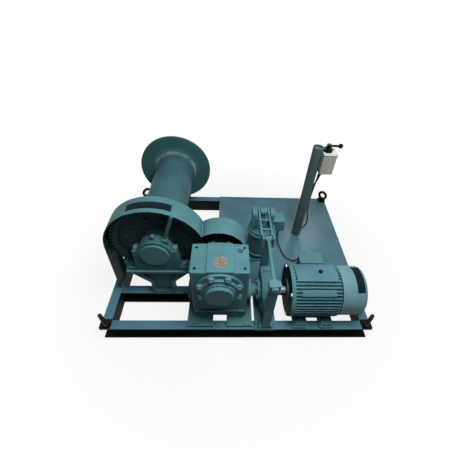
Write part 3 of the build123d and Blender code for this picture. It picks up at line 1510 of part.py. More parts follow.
def make_hold_down_bolts(block_bolts):
    """Bolts and nuts that hold the units to the frame."""
    bolts = []
    for name, thickness, size in (
        ("gearbox", foot_thickness, frame_bolt),
        ("brake", brake_base, brake_bolt),
        ("guard", guard_sheet, small_bolt),
    ):
        bolts += through_bolts(bolt_places[name], rail_top + thickness, size, thickness + flange_thickness)
    bolts += through_bolts(bolt_places["thruster"], thruster_foot, small_bolt, thruster_base + deck_thickness)
    depth = motor_foot + (bar_top - rail_top) - bolt_end_gap
    down = (0, 0, -1)
    foot_top = bar_top + motor_foot
    eye_nut_z = rail_top - flange_thickness
    bolts += [hex_bolt((x, y, foot_top), down, motor_bolt, depth) for x, y in bolt_places["motor"]]
    bolts += [hex_nut((x, y, eye_nut_z), down, 2 * eye_shank_radius) for x, y, z in eye_places]
    return group(bolts + block_bolts)


def make_all():
    """Every sub-part of the winch, by name."""
    parts = make_rails()
    parts["deck_plates"] = make_deck()
    parts["eye_pads"], parts["lifting_eyes"] = make_eyes()
    parts["drum"] = make_drum()
    parts["main_shaft"] = make_main_shaft()
    parts["bull_gear"] = make_bull_gear()
    lowers, caps, bushes, block_bolts = [], [], [], []
    for name, y in (("front_pedestal", front_bearing_y), ("rear_pedestal", rear_bearing_y)):
        lower, cap, bush, bolts, foot_holes = bearing_block(y)
        parts[name] = make_pedestal(y, foot_holes)
        lowers.append(lower)
        caps.append(cap)
        bushes.append(bush)
        block_bolts += bolts
    parts["bearing_blocks"] = group(lowers)
    parts["bearing_caps"] = group(caps)
    parts["bearing_bushes"] = group(bushes)
    parts["gear_guard"] = make_guard()
    parts["guard_stay"] = make_stay()
    parts["gearbox_housing"] = make_housing()
    parts["gearbox_top_cover"] = make_top_cover()
    parts["gearbox_side_covers"], parts["bearing_end_caps"], parts["gearbox_bearings"] = make_gearbox_fittings()
    parts["oil_plugs"] = make_plugs()
    parts["cover_bolts"] = make_cover_bolts()
    parts["worm_shaft"] = make_worm_shaft()
    parts["worm_wheel"] = make_worm_wheel()
    parts["output_shaft"] = make_output_shaft()
    parts["pinion"] = make_pinion()
    parts["shaft_coupling"] = make_coupling()
    parts["brake_drum"] = make_brake_drum()
    parts["brake_base"] = make_brake_base()
    parts["front_arm"] = make_front_arm()
    parts["rear_arm"] = make_rear_arm()
    parts["front_shoe"] = make_shoe(-1)
    parts["rear_shoe"] = make_shoe(1)
    parts["brake_lever"] = make_lever()
    parts["tie_rod"] = make_tie_rod()
    parts["thruster_body"], parts["thruster_rod"] = make_thruster()
    parts["motor_frame"] = make_motor_frame()
    parts["drive_end_shield"], parts["fan_end_shield"], parts["motor_bearings"] = make_shields()
    parts["stator_core"] = make_stator()
    parts["motor_rotor"] = make_rotor()
    parts["cooling_fan"] = make_fan()
    parts["fan_cowl"] = make_cowl()
    parts["terminal_box"], parts["terminal_lid"] = make_terminal_box()
    parts["motor_bars"] = make_motor_bars()
    parts["control_post"] = make_post()
    parts["switch_box"] = make_switch_box()
    parts["switch_handle"] = make_handle()
    parts["control_cables"] = group([tube(cable_entry), tube(cable_run)])
    parts["brake_cable"] = tube(brake_run)
    parts["cable_glands"] = make_glands()
    parts["hold_down_bolts"] = make_hold_down_bolts(block_bolts)
    return parts


os.makedirs("parts", exist_ok=True)
for node, shape in make_all().items():
    export_step(shape, "parts/" + node + ".step")
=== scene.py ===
import json
import math

import bmesh
import bpy
from mathutils import Matrix, Vector


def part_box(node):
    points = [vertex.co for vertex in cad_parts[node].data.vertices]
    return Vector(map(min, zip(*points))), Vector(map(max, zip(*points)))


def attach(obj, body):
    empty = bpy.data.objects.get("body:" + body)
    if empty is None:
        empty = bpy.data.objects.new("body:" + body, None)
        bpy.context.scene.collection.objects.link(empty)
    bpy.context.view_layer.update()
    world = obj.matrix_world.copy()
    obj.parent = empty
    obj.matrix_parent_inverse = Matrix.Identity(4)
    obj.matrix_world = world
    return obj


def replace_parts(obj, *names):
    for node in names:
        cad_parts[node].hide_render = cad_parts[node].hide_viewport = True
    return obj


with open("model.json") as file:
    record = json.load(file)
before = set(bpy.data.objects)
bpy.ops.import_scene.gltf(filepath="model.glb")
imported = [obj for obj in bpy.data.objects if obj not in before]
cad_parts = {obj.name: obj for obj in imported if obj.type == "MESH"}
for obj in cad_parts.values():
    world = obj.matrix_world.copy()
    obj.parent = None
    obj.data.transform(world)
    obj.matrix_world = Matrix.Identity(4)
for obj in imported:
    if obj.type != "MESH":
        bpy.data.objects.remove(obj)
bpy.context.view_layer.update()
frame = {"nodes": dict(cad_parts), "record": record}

bl_info = {
    "name": "Construction winch looks",
    "version": (1, 0, 0),
    "blender": (4, 5, 0),
    "location": "View3D > Sidebar > Winch",
    "description": "Paint, plates, welds, cables and stage for a construction winch",
    "category": "Object",
}

NODES = frame["nodes"]
JOINTS = {joint["name"]: joint for joint in frame["record"]["behaviour"]["joints"]}
DRUM_AXIS = Vector(JOINTS["drum_spin"]["pos_m"])
MOTOR_AXIS = Vector(JOINTS["motor_spin"]["pos_m"])
PINION_AXIS = Vector(JOINTS["wheel_spin"]["pos_m"])
LEVER_PIVOT = Vector(JOINTS["brake_release"]["pos_m"])
RAIL_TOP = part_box("front_rail")[1].z
DECK_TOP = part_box("deck_plates")[1].z
UP = Vector((0.0, 0.0, 1.0))
FRONT = Vector((0.0, -1.0, 0.0))

# Sizes of CAD pieces and places on them that their boxes don't give, in metres
BARREL_RADIUS = 0.122
ROPE_SETBACK = 0.030
GUARD_FOOT = 0.006
GEAR_WEB_SETBACK = 0.030
STEM_HALF_WIDTH = 0.062
STEM_DEPTH = 0.046
REAR_STEM_SETBACK = 0.027
THRUSTER_BOX_SIDE = 0.088
SWITCH_LID = 0.005

# Share of its normal along an axis from which a face counts as looking that way
FACING = 0.7
# Slack in metres for telling which face a point is on
MARGIN = 0.001
# Angle between two faces from which their edge looks sharp
SHARP_EDGE = math.radians(32.0)

# Floor and camera, in metres
FLOOR_HALF = 80.0
FLOOR_DROP = 0.0005
SENSOR_WIDTH = 0.036
FAR_END = 500.0
# Millimetres in a metre, for the camera's lens and sensor
MILLIMETRES = 1000.0


def colour(name, description, default):
    """Colour that a user can change."""
    return bpy.props.FloatVectorProperty(
        name=name, description=description, subtype="COLOR", size=3, min=0.0, max=1.0, default=default
    )


def number(name, description, default, **kind):
    """Number that a user can change, with a unit and limits where it has them."""
    return bpy.props.FloatProperty(name=name, description=description, default=default, **kind)


def length(name, description, default):
    """Length in metres."""
    return number(name, description, default, unit="LENGTH", min=0.0)


def power(name, description, default):
    """Power of a lamp in watts."""
    return number(name, description, default, unit="POWER", min=0.0)


def angle(name, description, degrees):
    """Angle, given in degrees."""
    return number(name, description, math.radians(degrees), subtype="ANGLE", unit="ROTATION")


class WinchPaints(bpy.types.PropertyGroup):
    """Colours of the finishes."""

    machine: colour("Machine paint", "Gloss enamel on castings and sheet", (0.080, 0.200, 0.225))
    # The drum paint is darker than the machine paint, partly as painted shade.
    drum: colour("Drum paint", "Darker enamel on the drum", (0.054, 0.132, 0.148))
    # The flange paint is darker than the drum paint, partly as painted shade of the flange's face.
    flange: colour("Flange paint", "Greener enamel on the drum's flange", (0.040, 0.120, 0.120))
    # Painted highlight: the pale ring at the flange's root stands in for the glint of the top light on the
    # fillet.
    rubbed: colour("Rubbed paint", "Ring that rope has rubbed at the flange's root", (0.230, 0.350, 0.355))
    motor: colour("Motor paint", "Enamel on the motor's frame and drive end", (0.078, 0.190, 0.226))
    # The bearing paint is darker than the machine paint, partly as painted shade under the guard.
    bearing: colour("Bearing paint", "Greasy enamel on bearings and guard stay", (0.054, 0.134, 0.148))
    # The cowl paint is lighter than the machine paint, partly as painted light where the cowl catches a
    # highlight.
    cowl: colour("Cowl paint", "Lighter gloss enamel on the fan cowl", (0.132, 0.258, 0.286))
    deck: colour("Deck paint", "Bluer enamel on the deck and rail tops", (0.074, 0.180, 0.230))
    # The post paint is darker than the machine paint, partly as painted shade.
    post: colour("Post paint", "Dark enamel on the control post", (0.070, 0.105, 0.105))
    # The gear colour also paints shade on the guard's inside, the motor's drive end and its fan end.
    gear: colour("Gear paint", "Oily enamel on the bull gear, and grease", (0.020, 0.045, 0.050))
    rail: colour("Rail black", "Satin black on the channels and lifting eyes", (0.004, 0.004, 0.005))
    steel: colour("Bare steel", "Shafts, rotor and rolling bearings", (0.24, 0.26, 0.27))
    iron: colour("Cast iron", "Pinion and stator", (0.045, 0.055, 0.06))
    bronze: colour("Bronze", "Bushes and worm wheel", (0.42, 0.26, 0.09))
    rubber: colour("Cable sheath", "Black cable sheath", (0.004, 0.006, 0.007))
    plastic: colour("Black plastic", "Switch handle, glands and fan", (0.004, 0.004, 0.005))
    switch: colour("Switch case", "Beige paint of the switch case", (0.36, 0.37, 0.30))
    lid: colour("Switch lid", "White lid of the switch case", (0.50, 0.57, 0.50))
    zinc: colour("Zinc", "Bright plating of the motor's bolts", (0.50, 0.51, 0.50))
    strip: colour("Strip", "Dark enamel of the strips and of the motor's plug", (0.004, 0.010, 0.015))
    badge: colour("Badge rim", "Grey rim of the oval plate", (0.230, 0.260, 0.240))
    brown: colour("Badge field", "Brown field of the oval plate", (0.210, 0.140, 0.100))


class WinchPlates(bpy.types.PropertyGroup):
    """Plates, fasteners, welds and cables."""

    thickness: length("Plate thickness", "Thickness of the plates and strips", 0.0012)
    rivet: length("Rivet", "Radius of a rivet's head", 0.0028)
    strip_start: angle("Guard strip start", "First angle of the strip round the drum's axis", 67.0)
    strip_end: angle("Guard strip end", "Last angle of the strip round the drum's axis", 115.0)
    strip_inset: length("Guard strip inset", "From the guard's front edge to the strip", 0.0245)
    strip_width: length("Guard strip width", "Width of the strip along the drum", 0.045)
    badge_length: length("Badge length", "Length of the oval plate across the gearbox", 0.062)
    badge_width: length("Badge width", "Width of the oval plate along the drum", 0.066)
    badge_shift: length("Badge shift", "From the gearbox's middle to the oval plate's, to the right", 0.004)
    badge_setback: length("Badge setback", "From the cover's front edge to the oval plate's middle", 0.057)
    cowl_start: angle("Cowl strip start", "First angle of the cowl's strip round the motor's axis", 60.0)
    cowl_end: angle("Cowl strip end", "Last angle of the cowl's strip round the motor's axis", 130.0)
    cowl_inset: length("Cowl strip inset", "From the cowl's outer end to its strip", 0.017)
    cowl_width: length("Cowl strip width", "Width of the cowl's strip along the motor", 0.039)
    rating_start: angle("Rating plate start", "First angle of the motor's plate round its axis", 124.0)
    rating_end: angle("Rating plate end", "Last angle of the motor's plate round its axis", 138.0)
    rating_inset: length("Rating plate inset", "From the frame's ends to the motor's plate", 0.030)
    gear_bolts: bpy.props.IntProperty(
        name="Gear bolts", description="Bolts that hold the bull gear to the drum", default=12, min=3
    )
    gear_bolt_circle: length("Gear bolt circle", "Radius of the circle of bolts on the bull gear", 0.150)
    gear_bolt: length("Gear bolt", "Size across the flats of a gear bolt", 0.022)
    gear_head: length("Gear bolt head", "Height of a gear bolt's head", 0.0099)
    gear_edge: length("Gear bolt edge", "Rounding of a gear bolt's edges", 0.0012)
    plug: length("Motor plug", "Size across the flats of the motor's plug", 0.019)
    plug_height: length("Motor plug height", "Height of the motor's plug", 0.010)
    plug_edge: length("Motor plug edge", "Rounding of the plug's edges", 0.001)
    plug_shift: length("Motor plug shift", "From the motor frame's middle to the plug, to the right", 0.020)
    plug_setback: length("Motor plug setback", "From the motor's axis back to the plug", 0.016)
    plug_sink: length("Motor plug sink", "How deep the plug sits in the frame", 0.002)
    box_lid: length("Thruster box lid", "Side of the lid on the thruster's box", 0.092)
    box_lid_thickness: length("Thruster box lid thickness", "Thickness of that lid", 0.006)
    box_drop: length("Thruster box drop", "From the lever's pivot down to the box's top", 0.110)
    screw: length("Screw", "Radius of a lid screw's head", 0.0042)
    lid_inset: length("Lid screw inset", "From a lid's edges to its screws", 0.009)
    bead: length("Weld bead", "Radius of a weld bead", 0.0036)
    stitch: length("Stitch", "Length of a stitch weld", 0.055)
    cable: length("Cable", "Diameter of the cables", 0.010)


class WinchStage(bpy.types.PropertyGroup):
    """Camera, floor and light."""

    floor: colour("Floor", "Pale floor", (0.80, 0.80, 0.80))
    floor_white: number(
        "Floor white", "Share of white that the camera sees in the floor at the winch", 0.86,
        subtype="FACTOR", min=0.0, max=1.0,
    )
    white_start: length("White start", "How far from the origin the floor starts to turn white", 0.7)
    white_end: length("White end", "How far from the origin the floor is all white", 1.4)
    lens: length("Lens", "Focal length of the camera", 0.02109)
    place: bpy.props.FloatVectorProperty(
        name="Camera place", description="Where the camera stands", subtype="TRANSLATION", size=3,
        default=(-0.0746, -1.2265, 1.5129),
    )
    pitch: angle("Pitch", "How far the camera looks down", 44.99)
    yaw: angle("Yaw", "How far the camera looks to the right", 3.49)
    roll: angle("Roll", "Turn of the camera about its own line of sight", 3.34)
    shift_x: number("Shift X", "Sideways shift of the picture frame", -0.0019)
    shift_y: number("Shift Y", "Upward shift of the picture frame", -0.0127)
    key: power("Key light", "Power of the softbox overhead", 31.0)
    rear: power("Rear light", "Power of the small panel behind the deck", 6.5)
    left: power("Left light", "Power of the wide panel on the left", 8.0)
    sky: number("Sky", "Strength of the light from all round", 0.12)


class WinchSettings(bpy.types.PropertyGroup):
    """All settings of the winch."""

    paints: bpy.props.PointerProperty(name="Paints", description="Colours", type=WinchPaints)
    plates: bpy.props.PointerProperty(name="Plates", description="Plates, welds and cables", type=WinchPlates)
    stage: bpy.props.PointerProperty(name="Stage", description="Camera, floor and light", type=WinchStage)


class Reading:
    """Output socket of a shader node. Arithmetic on it adds Math nodes."""

    def __init__(self, finish, socket):
        self.finish = finish
        self.socket = socket

    def math(self, operation, first, second):
        """Math node on two values, one of them this reading."""
        return self.finish.node("ShaderNodeMath", {"operation": operation}, {0: first, 1: second})

    def __add__(self, other):
        return self.math("ADD", self, other)

    def __sub__(self, other):
        return self.math("SUBTRACT", self, other)

    def __rsub__(self, other):
        return self.math("SUBTRACT", other, self)

    def __mul__(self, other):
        return self.math("MULTIPLY", self, other)

    def __gt__(self, other):
        return self.math("GREATER_THAN", self, other)

    def __lt__(self, other):
        return self.math("LESS_THAN", self, other)

    __radd__ = __add__
    __rmul__ = __mul__


class Finish:
    """Node tree of a material or of the world."""

    def __init__(self, owner):
        self.owner = owner
        self.point = None
        owner.use_nodes = True
        self.tree = owner.node_tree
        self.tree.nodes.clear()

    def node(self, kind, settings=None, inputs=None, output=0):
        """Adds a node, sets it up, feeds its sockets and gives one of its outputs."""
        made = self.tree.nodes.new(kind)
        for key, value in (settings or {}).items():
            setattr(made, key, value)
        for key, value in (inputs or {}).items():
            if isinstance(value, Reading):
                self.tree.links.new(value.socket, made.inputs[key])
            else:
                made.inputs[key].default_value = value
        return Reading(self, made.outputs[output]) if made.outputs else None

    def place(self):
        """Point on the piece, in the frame of the winch at rest."""
        if self.point is None:
            self.point = self.node("ShaderNodeTexCoord", output="Object")
        return self.point


def rgba(shade, gain=1.0):
    """Colour with full alpha, brightened or darkened by a gain."""
    return (*[min(1.0, part * gain) for part in shade], 1.0)


def blend(share, first, second):
    """Colour between two, by a share."""
    settings = {"data_type": "RGBA", "clamp_factor": True}
    return share.finish.node("ShaderNodeMix", settings, {0: share, 6: first, 7: second}, output=2)


def ramp(value, low, high):
    """Value spread to 0..1 between a low and a high end."""
    inputs = {"Value": value, "From Min": low, "From Max": high}
    return value.finish.node("ShaderNodeMapRange", {"interpolation_type": "SMOOTHSTEP"}, inputs)


def band(value, rise, fall):
    """1 between a rising and a falling slope, 0 beyond them."""
    return ramp(value, *rise) * (1.0 - ramp(value, *fall))


def toned(value, shade, span, gains):
    """Shade that goes from one gain to another while a value crosses a span."""
    low_gain, high_gain = gains
    return blend(ramp(value, *span), rgba(shade, low_gain), rgba(shade, high_gain))


def noise(finish, scale, detail, roughness=0.5, stretch=None):
    """Cloudy value from 0 to 1, stretched along the axes where asked."""
    place = finish.place()
    if stretch:
        place = finish.node("ShaderNodeMapping", None, {"Vector": place, "Scale": stretch})
    inputs = {"Vector": place, "Scale": scale, "Detail": detail, "Roughness": roughness}
    return finish.node("ShaderNodeTexNoise", None, inputs)


def part_of(finish, axis, vector=None):
    """One coordinate of a vector, or else of the point on the piece."""
    inputs = {"Vector": vector or finish.place()}
    return finish.node("ShaderNodeSeparateXYZ", None, inputs, output=axis)


def faces_along(finish, axis):
    """How far the surface faces along an axis of the winch at rest, from -1 to 1."""
    return part_of(finish, axis, finish.node("ShaderNodeTexCoord", output="Normal"))


def vector_math(operation, *vectors, output="Vector"):
    """Vector Math node on one or two vectors."""
    inputs = dict(enumerate(vectors))
    return vectors[0].finish.node("ShaderNodeVectorMath", {"operation": operation}, inputs, output=output)


def spread_from(finish, centre, shares):
    """Distance from a centre, with each axis weighed by its share."""
    offset = vector_math("SUBTRACT", finish.place(), tuple(centre))
    weighed = vector_math("MULTIPLY", offset, shares)
    return vector_math("LENGTH", weighed, output="Value")


def highlight_edges(base, other, share, radius, gain=4.0):
    """Painted highlight along outer and inner edges: colour that turns to another there, by a share; and the
    rounded normal.
    """
    finish = base.finish
    rounded = finish.node("ShaderNodeBevel", {"samples": 6}, {"Radius": radius})
    true_normal = finish.node("ShaderNodeNewGeometry", output="Normal")
    match = vector_math("DOT_PRODUCT", rounded, true_normal, output="Value")
    edge = finish.node("ShaderNodeClamp", None, {"Value": (1.0 - match) * gain})
    return blend(edge * share, base, other), rounded


def shaded_corner_mask(finish, reach):
    """Value that rises in corners and under overhangs, used to paint shade there, and dust in the enamel."""
    settings = {"samples": 6, "only_local": True}
    return 1.0 - finish.node("ShaderNodeAmbientOcclusion", settings, {"Distance": reach}, output="AO")


def surface(base, roughness, height, normal, depth, shine=0.5, metal=0.0):
    """Principled surface with a bump of some depth, joined to the material's output."""
    inputs = {"Height": height, "Distance": depth, "Strength": 0.6}
    if normal is not None:
        inputs["Normal"] = normal
    finish = base.finish
    bump = finish.node("ShaderNodeBump", None, inputs)
    sockets = {"Base Color": base, "Roughness": roughness, "Normal": bump}
    sockets.update({"Specular IOR Level": shine, "Metallic": metal})
    shader = finish.node("ShaderNodeBsdfPrincipled", None, sockets)
    finish.node("ShaderNodeOutputMaterial", None, {"Surface": shader})
    return finish.owner


def made_once(build):
    """Keeps the material that a function makes, so that it is made once for each name."""

    def get(name, *details, **amounts):
        made = bpy.data.materials.get(name)
        return made or build(Finish(bpy.data.materials.new(name)), *details, **amounts)

    return get


def enamel_coat(finish, shade):
    """Colour of enamel with a painted highlight on its edges, broken up like wear, and painted shade in its
    corners; its rounded normal, drift of tone and dust.
    """
    drift = noise(finish, 7.0, detail=4.0)
    flecks = noise(finish, 60.0, detail=2.0)
    shaded_corners = shaded_corner_mask(finish, reach=0.05)
    dust = shaded_corners * ramp(flecks, 0.3, 0.8)
    base = toned(drift, shade, span=(0.3, 0.7), gains=(0.86, 1.12))
    # Painted shade in corners and under overhangs, with a little dust.
    base = blend(shaded_corners * 0.85 + dust * 0.3, base, rgba(shade, 0.15))
    # Painted highlight along the edges, broken into patches like worn paint.
    worn = ramp(flecks, 0.25, 0.6) * 0.85
    base, rounded = highlight_edges(base, rgba(shade, 2.7), share=worn, radius=0.005)
    return base, rounded, drift, dust


@made_once
def enamel(finish, shade, grain, depth, roughness, shine=0.05):
    """Enamel: slow drift of tone, brush-out or casting grain, painted highlight on edges, painted shade and
    dust in the corners.
    """
    base, rounded, drift, dust = enamel_coat(finish, shade)
    matt = roughness + drift * 0.10 + dust * 0.20
    height = noise(finish, grain, detail=3.0, roughness=0.55)
    return surface(base, matt, height, rounded, depth, shine)


def smeared_shade(base, share, grease, gains):
    """Colour under a smeared coat of painted shade, by a share."""
    smears = noise(base.finish, 18.0, detail=4.0, roughness=0.6)
    return blend(share, base, toned(smears, grease, span=(0.35, 0.75), gains=gains))


@made_once
def shield_enamel(finish, shade, grease):
    """Motor's drive end: motor paint on the rim, painted shade, dark and smeared, on the face that looks at
    the brake.
    """
    base, rounded, drift, _ = enamel_coat(finish, shade)
    base = smeared_shade(base, faces_along(finish, "X") < -FACING, grease, gains=(0.5, 1.4))
    height = noise(finish, 240.0, detail=3.0, roughness=0.55)
    return surface(base, 0.46 + drift * 0.10, height, rounded, depth=0.0006, shine=0.01)


@made_once
def guard_enamel(finish, shade, grease, split, foot_line):
    """Guard sheet: machine paint outside, painted shade, dark and smeared, on the inner faces that look
    towards the gears' axes.
    """
    inner_reach = 0.03
    x, z = [part_of(finish, axis) for axis in "XZ"]
    small = x > split
    away_x = x - DRUM_AXIS.x - small * (PINION_AXIS.x - DRUM_AXIS.x)
    away_z = z - DRUM_AXIS.z - small * (PINION_AXIS.z - DRUM_AXIS.z)
    outward = away_x * faces_along(finish, "X") + away_z * faces_along(finish, "Z")
    # Inner faces, where the guard's own shade falls, get painted shade.
    shaded_inside = (outward < -inner_reach) * (z > foot_line)
    base, rounded, drift, _ = enamel_coat(finish, shade)
    base = smeared_shade(base, shaded_inside, grease, gains=(0.3, 0.8))
    height = noise(finish, 90.0, detail=3.0, roughness=0.55)
    return surface(base, 0.46 + drift * 0.10, height, rounded, depth=0.0004, shine=0.05)


@made_once
def drum_paint(finish, shade, flange_shade, rubbed, rope_end):
    """Drum enamel: bluer barrel; a darker, greener flange, partly painted shade of its face; and a painted
    highlight ring at the flange's root.
    """
    above = spread_from(finish, DRUM_AXIS, shares=(1.0, 0.0, 1.0)) - BARREL_RADIUS
    roped = part_of(finish, "Y") < rope_end
    base, rounded, drift, dust = enamel_coat(finish, shade)
    # Painted shade, in part: the flange's face turns darker and greener than the barrel.
    base = blend(ramp(above, 0.020, 0.045) * 0.75, base, rgba(flange_shade))
    # Painted highlight: a pale ring on the fillet at the flange's root, broken into patches, where the top
    # light glints.
    worn = noise(finish, 22.0, detail=3.0)
    ring = band(above, rise=(0.002, 0.009), fall=(0.011, 0.023)) * roped
    base = blend(ring * ramp(worn, 0.25, 0.70) * 0.8, base, rgba(rubbed))
    matt = 0.32 + drift * 0.10 + dust * 0.20
    height = noise(finish, 60.0, detail=3.0, roughness=0.55)
    return surface(base, matt, height, rounded, depth=0.0003, shine=0.015)


@made_once
def bolt_paint(finish, shade, bright, dark, split, shaded_screw_line):
    """Bolt heads: machine paint on the gearbox, black as painted shade on the screws sunk in its cover's
    holes, plating on the motor.
    """
    plated = part_of(finish, "X") > split
    # Screws sunk in the top cover's holes are painted black, as shade.
    sunk = part_of(finish, "Z") > shaded_screw_line
    drift = noise(finish, 60.0, detail=3.0)
    base = toned(drift, shade, span=(0.3, 0.7), gains=(0.8, 1.1))
    base, rounded = highlight_edges(base, rgba(shade, 2.0), share=0.5, radius=0.0015, gain=5.0)
    base = blend(plated, base, rgba(bright))
    base = blend(sunk, base, rgba(dark))
    matt = 0.42 - plated * 0.1 + drift * 0.1
    grain = noise(finish, 300.0, detail=2.0)
    return surface(base, matt, grain, rounded, depth=0.0003, shine=0.16, metal=plated * 0.7)


@made_once
def strip_enamel(finish, shade):
    """Dark stove enamel of the strips: smooth, dusty, paler along its edges."""
    drift = noise(finish, 45.0, detail=4.0)
    base = toned(drift, shade, span=(0.35, 0.75), gains=(1.0, 1.9))
    base, rounded = highlight_edges(base, rgba(shade, 6.0), share=0.5, radius=0.0012)
    grain = noise(finish, 500.0, detail=2.0)
    return surface(base, 0.46 + drift * 0.14, grain, rounded, depth=0.0001, shine=0.03)


@made_once
def badge_enamel(finish, rim, field, middle, half_length, half_width):
    """Oval plate: grey rim and ring round a worn brown field."""
    spread = spread_from(finish, middle, shares=(1.0 / half_length, 1.0 / half_width, 0.0))
    wear = noise(finish, 130.0, detail=4.0)
    outer = ramp(spread + wear * 0.06, 0.80, 0.86)
    inner = band(spread, rise=(0.50, 0.54), fall=(0.60, 0.64))
    grey = toned(wear, rim, span=(0.3, 0.7), gains=(0.6, 1.3))
    brown = toned(wear, field, span=(0.35, 0.65), gains=(0.6, 1.2))
    base = blend(outer * 0.8 + inner * 0.9, brown, grey)
    height = outer + inner + wear * 0.2
    return surface(base, 0.40 + wear * 0.15, height, None, depth=0.0006, shine=0.2)


@made_once
def rail_paint(finish, top_shade, side_shade):
    """Channel paint: blue-grey on the top face, satin black on every other face."""
    high = part_of(finish, "Z")
    top = (faces_along(finish, "Z") > FACING) * (high > RAIL_TOP - MARGIN)
    drift = noise(finish, 9.0, detail=4.0)
    streak = noise(finish, 26.0, detail=3.0, roughness=0.6)
    painted = toned(drift, top_shade, span=(0.3, 0.7), gains=(1.0, 1.3))
    black = toned(streak, side_shade, span=(0.45, 0.75), gains=(1.0, 2.2))
    base = blend(top, black, painted)
    base, rounded = highlight_edges(base, rgba(top_shade, 0.6), share=0.25, radius=0.003)
    matt = 0.52 - top * 0.12 + drift * 0.12
    mill_scale = noise(finish, 130.0, detail=4.0, roughness=0.6)
    return surface(base, matt, mill_scale, rounded, depth=0.0006, shine=0.08)


@made_once
def black_enamel(finish, shade):
    """Satin black paint of the lifting eyes and pads."""
    drift = noise(finish, 40.0, detail=3.0)
    base = toned(drift, shade, span=(0.4, 0.8), gains=(1.0, 2.5))
    base, rounded = highlight_edges(base, rgba(shade, 7.0), share=0.3, radius=0.002)
    grain = noise(finish, 300.0, detail=3.0)
    return surface(base, 0.40 + drift * 0.15, grain, rounded, depth=0.0004, shine=0.12)


@made_once
def turned_steel(finish, shade, stretch):
    """Bare turned steel: fine tool lines across the axis, with a thin film of oil."""
    lines = noise(finish, 90.0, detail=2.0, stretch=stretch)
    film = noise(finish, 24.0, detail=3.0)
    base = toned(film, shade, span=(0.35, 0.7), gains=(0.7, 1.05))
    base, rounded = highlight_edges(base, rgba(shade, 1.4), share=0.4, radius=0.001, gain=3.0)
    matt = 0.26 + lines * 0.14 + film * 0.08
    return surface(base, matt, lines, rounded, depth=0.0002, metal=0.92)


@made_once
def oiled_iron(finish, shade, metal):
    """Iron or steel darkened by oil, with a painted highlight and wear along its edges and painted shade in
    its creases.
    """
    film = noise(finish, 30.0, detail=4.0)
    grain = noise(finish, 420.0, detail=3.0, roughness=0.6)
    base = toned(film, shade, span=(0.3, 0.7), gains=(0.75, 1.4))
    base, rounded = highlight_edges(base, rgba(shade, 4.0), share=0.6, radius=0.0015)
    base = blend(shaded_corner_mask(finish, reach=0.012) * 0.7, base, rgba(shade, 0.25))
    return surface(base, 0.36 + film * 0.16, grain, rounded, depth=0.0004, metal=metal)


@made_once
def moulded(finish, shade, roughness, grain):
    """Moulded plastic or rubber: even colour with a fine grain and slightly lighter edges."""
    drift = noise(finish, 35.0, detail=2.0)
    base = toned(drift, shade, span=(0.3, 0.8), gains=(1.0, 1.8))
    base, rounded = highlight_edges(base, rgba(shade, 3.5), share=0.3, radius=0.001, gain=3.0)
    pores = noise(finish, grain, detail=2.0, roughness=0.6)
    return surface(base, roughness + drift * 0.12, pores, rounded, depth=0.0002, shine=0.04)


@made_once
def switch_paint(finish, case, lid, split):
    """Switch case: beige below the split line, white lid above it."""
    high = part_of(finish, "Z")
    drift = noise(finish, 30.0, detail=4.0)
    streak = noise(finish, 20.0, detail=3.0, roughness=0.6, stretch=(1.0, 1.0, 0.12))
    beige = toned(streak, case, span=(0.35, 0.75), gains=(0.88, 1.08))
    base = blend(high > split, beige, rgba(lid))
    base, rounded = highlight_edges(base, rgba(lid, 1.2), share=0.3, radius=0.002)
    # Painted shade in the corners and under the lid.
    base = blend(shaded_corner_mask(finish, reach=0.02) * 0.4, base, rgba(case, 0.4))
    grain = noise(finish, 260.0, detail=2.0)
    return surface(base, 0.38 + drift * 0.12, grain, rounded, depth=0.0003, shine=0.25)


def paints():
    """Colours of this scene."""
    return bpy.context.scene.winch.paints


def cast_enamel():
    """Machine paint over castings."""
    return enamel("cast_enamel", paints().machine, grain=240.0, depth=0.0006, roughness=0.44)


def sheet_enamel():
    """Machine paint over sheet and plate."""
    return enamel("sheet_enamel", paints().machine, grain=90.0, depth=0.0004, roughness=0.46)


def gear_enamel():
    """Dark paint of the bull gear and its bolts, and painted shade on the motor's fan end."""
    return enamel("gear_enamel", paints().gear, grain=200.0, depth=0.0010, roughness=0.44)


def motor_enamel():
    """Paint of the motor's frame and plate."""
    return enamel("motor_enamel", paints().motor, grain=240.0, depth=0.0006, roughness=0.40)


def dark_enamel():
    """Enamel of the strips and of the motor's plug."""
    return strip_enamel("strip_enamel", paints().strip)


def dress(material, *nodes):
    """Gives CAD nodes a material."""
    for name in nodes:
        slots = NODES[name].data.materials
        slots.clear()
        slots.append(material)


def add_object(name, data):
    """New object in the scene."""
    made = bpy.data.objects.new(name, data)
    bpy.context.scene.collection.objects.link(made)
    return made


def new_piece(name, shape, material, body="base", edge=0.0):
    """Mesh piece on a body, with its finish and, where asked, rounded edges."""
    mesh = bpy.data.meshes.new(name)
    bmesh.ops.recalc_face_normals(shape, faces=shape.faces)
    shape.to_mesh(mesh)
    shape.free()
    mesh.polygons.foreach_set("use_smooth", [True] * len(mesh.polygons))
    mesh.set_sharp_from_angle(angle=SHARP_EDGE)
    mesh.materials.append(material)
    piece = add_object(name, mesh)
    if edge:
        rounding = piece.modifiers.new("edge", "BEVEL")
        rounding.width = edge
        rounding.segments = 2
    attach(piece, body)


def standing(place, way):
    """Matrix that stands an upright shape on a place, along a way."""
    return Matrix.Translation(place) @ UP.rotation_difference(Vector(way)).to_matrix().to_4x4()


def round_place(axis, centre, turn, radius, along):
    """Point on a round surface about an axis along X or Y, by its turn, radius and place along the axis."""
    across, rise = radius * math.cos(turn), radius * math.sin(turn)
    if axis == "X":
        return Vector((along, centre.y + across, centre.z + rise))
    return Vector((centre.x + across, along, centre.z + rise))


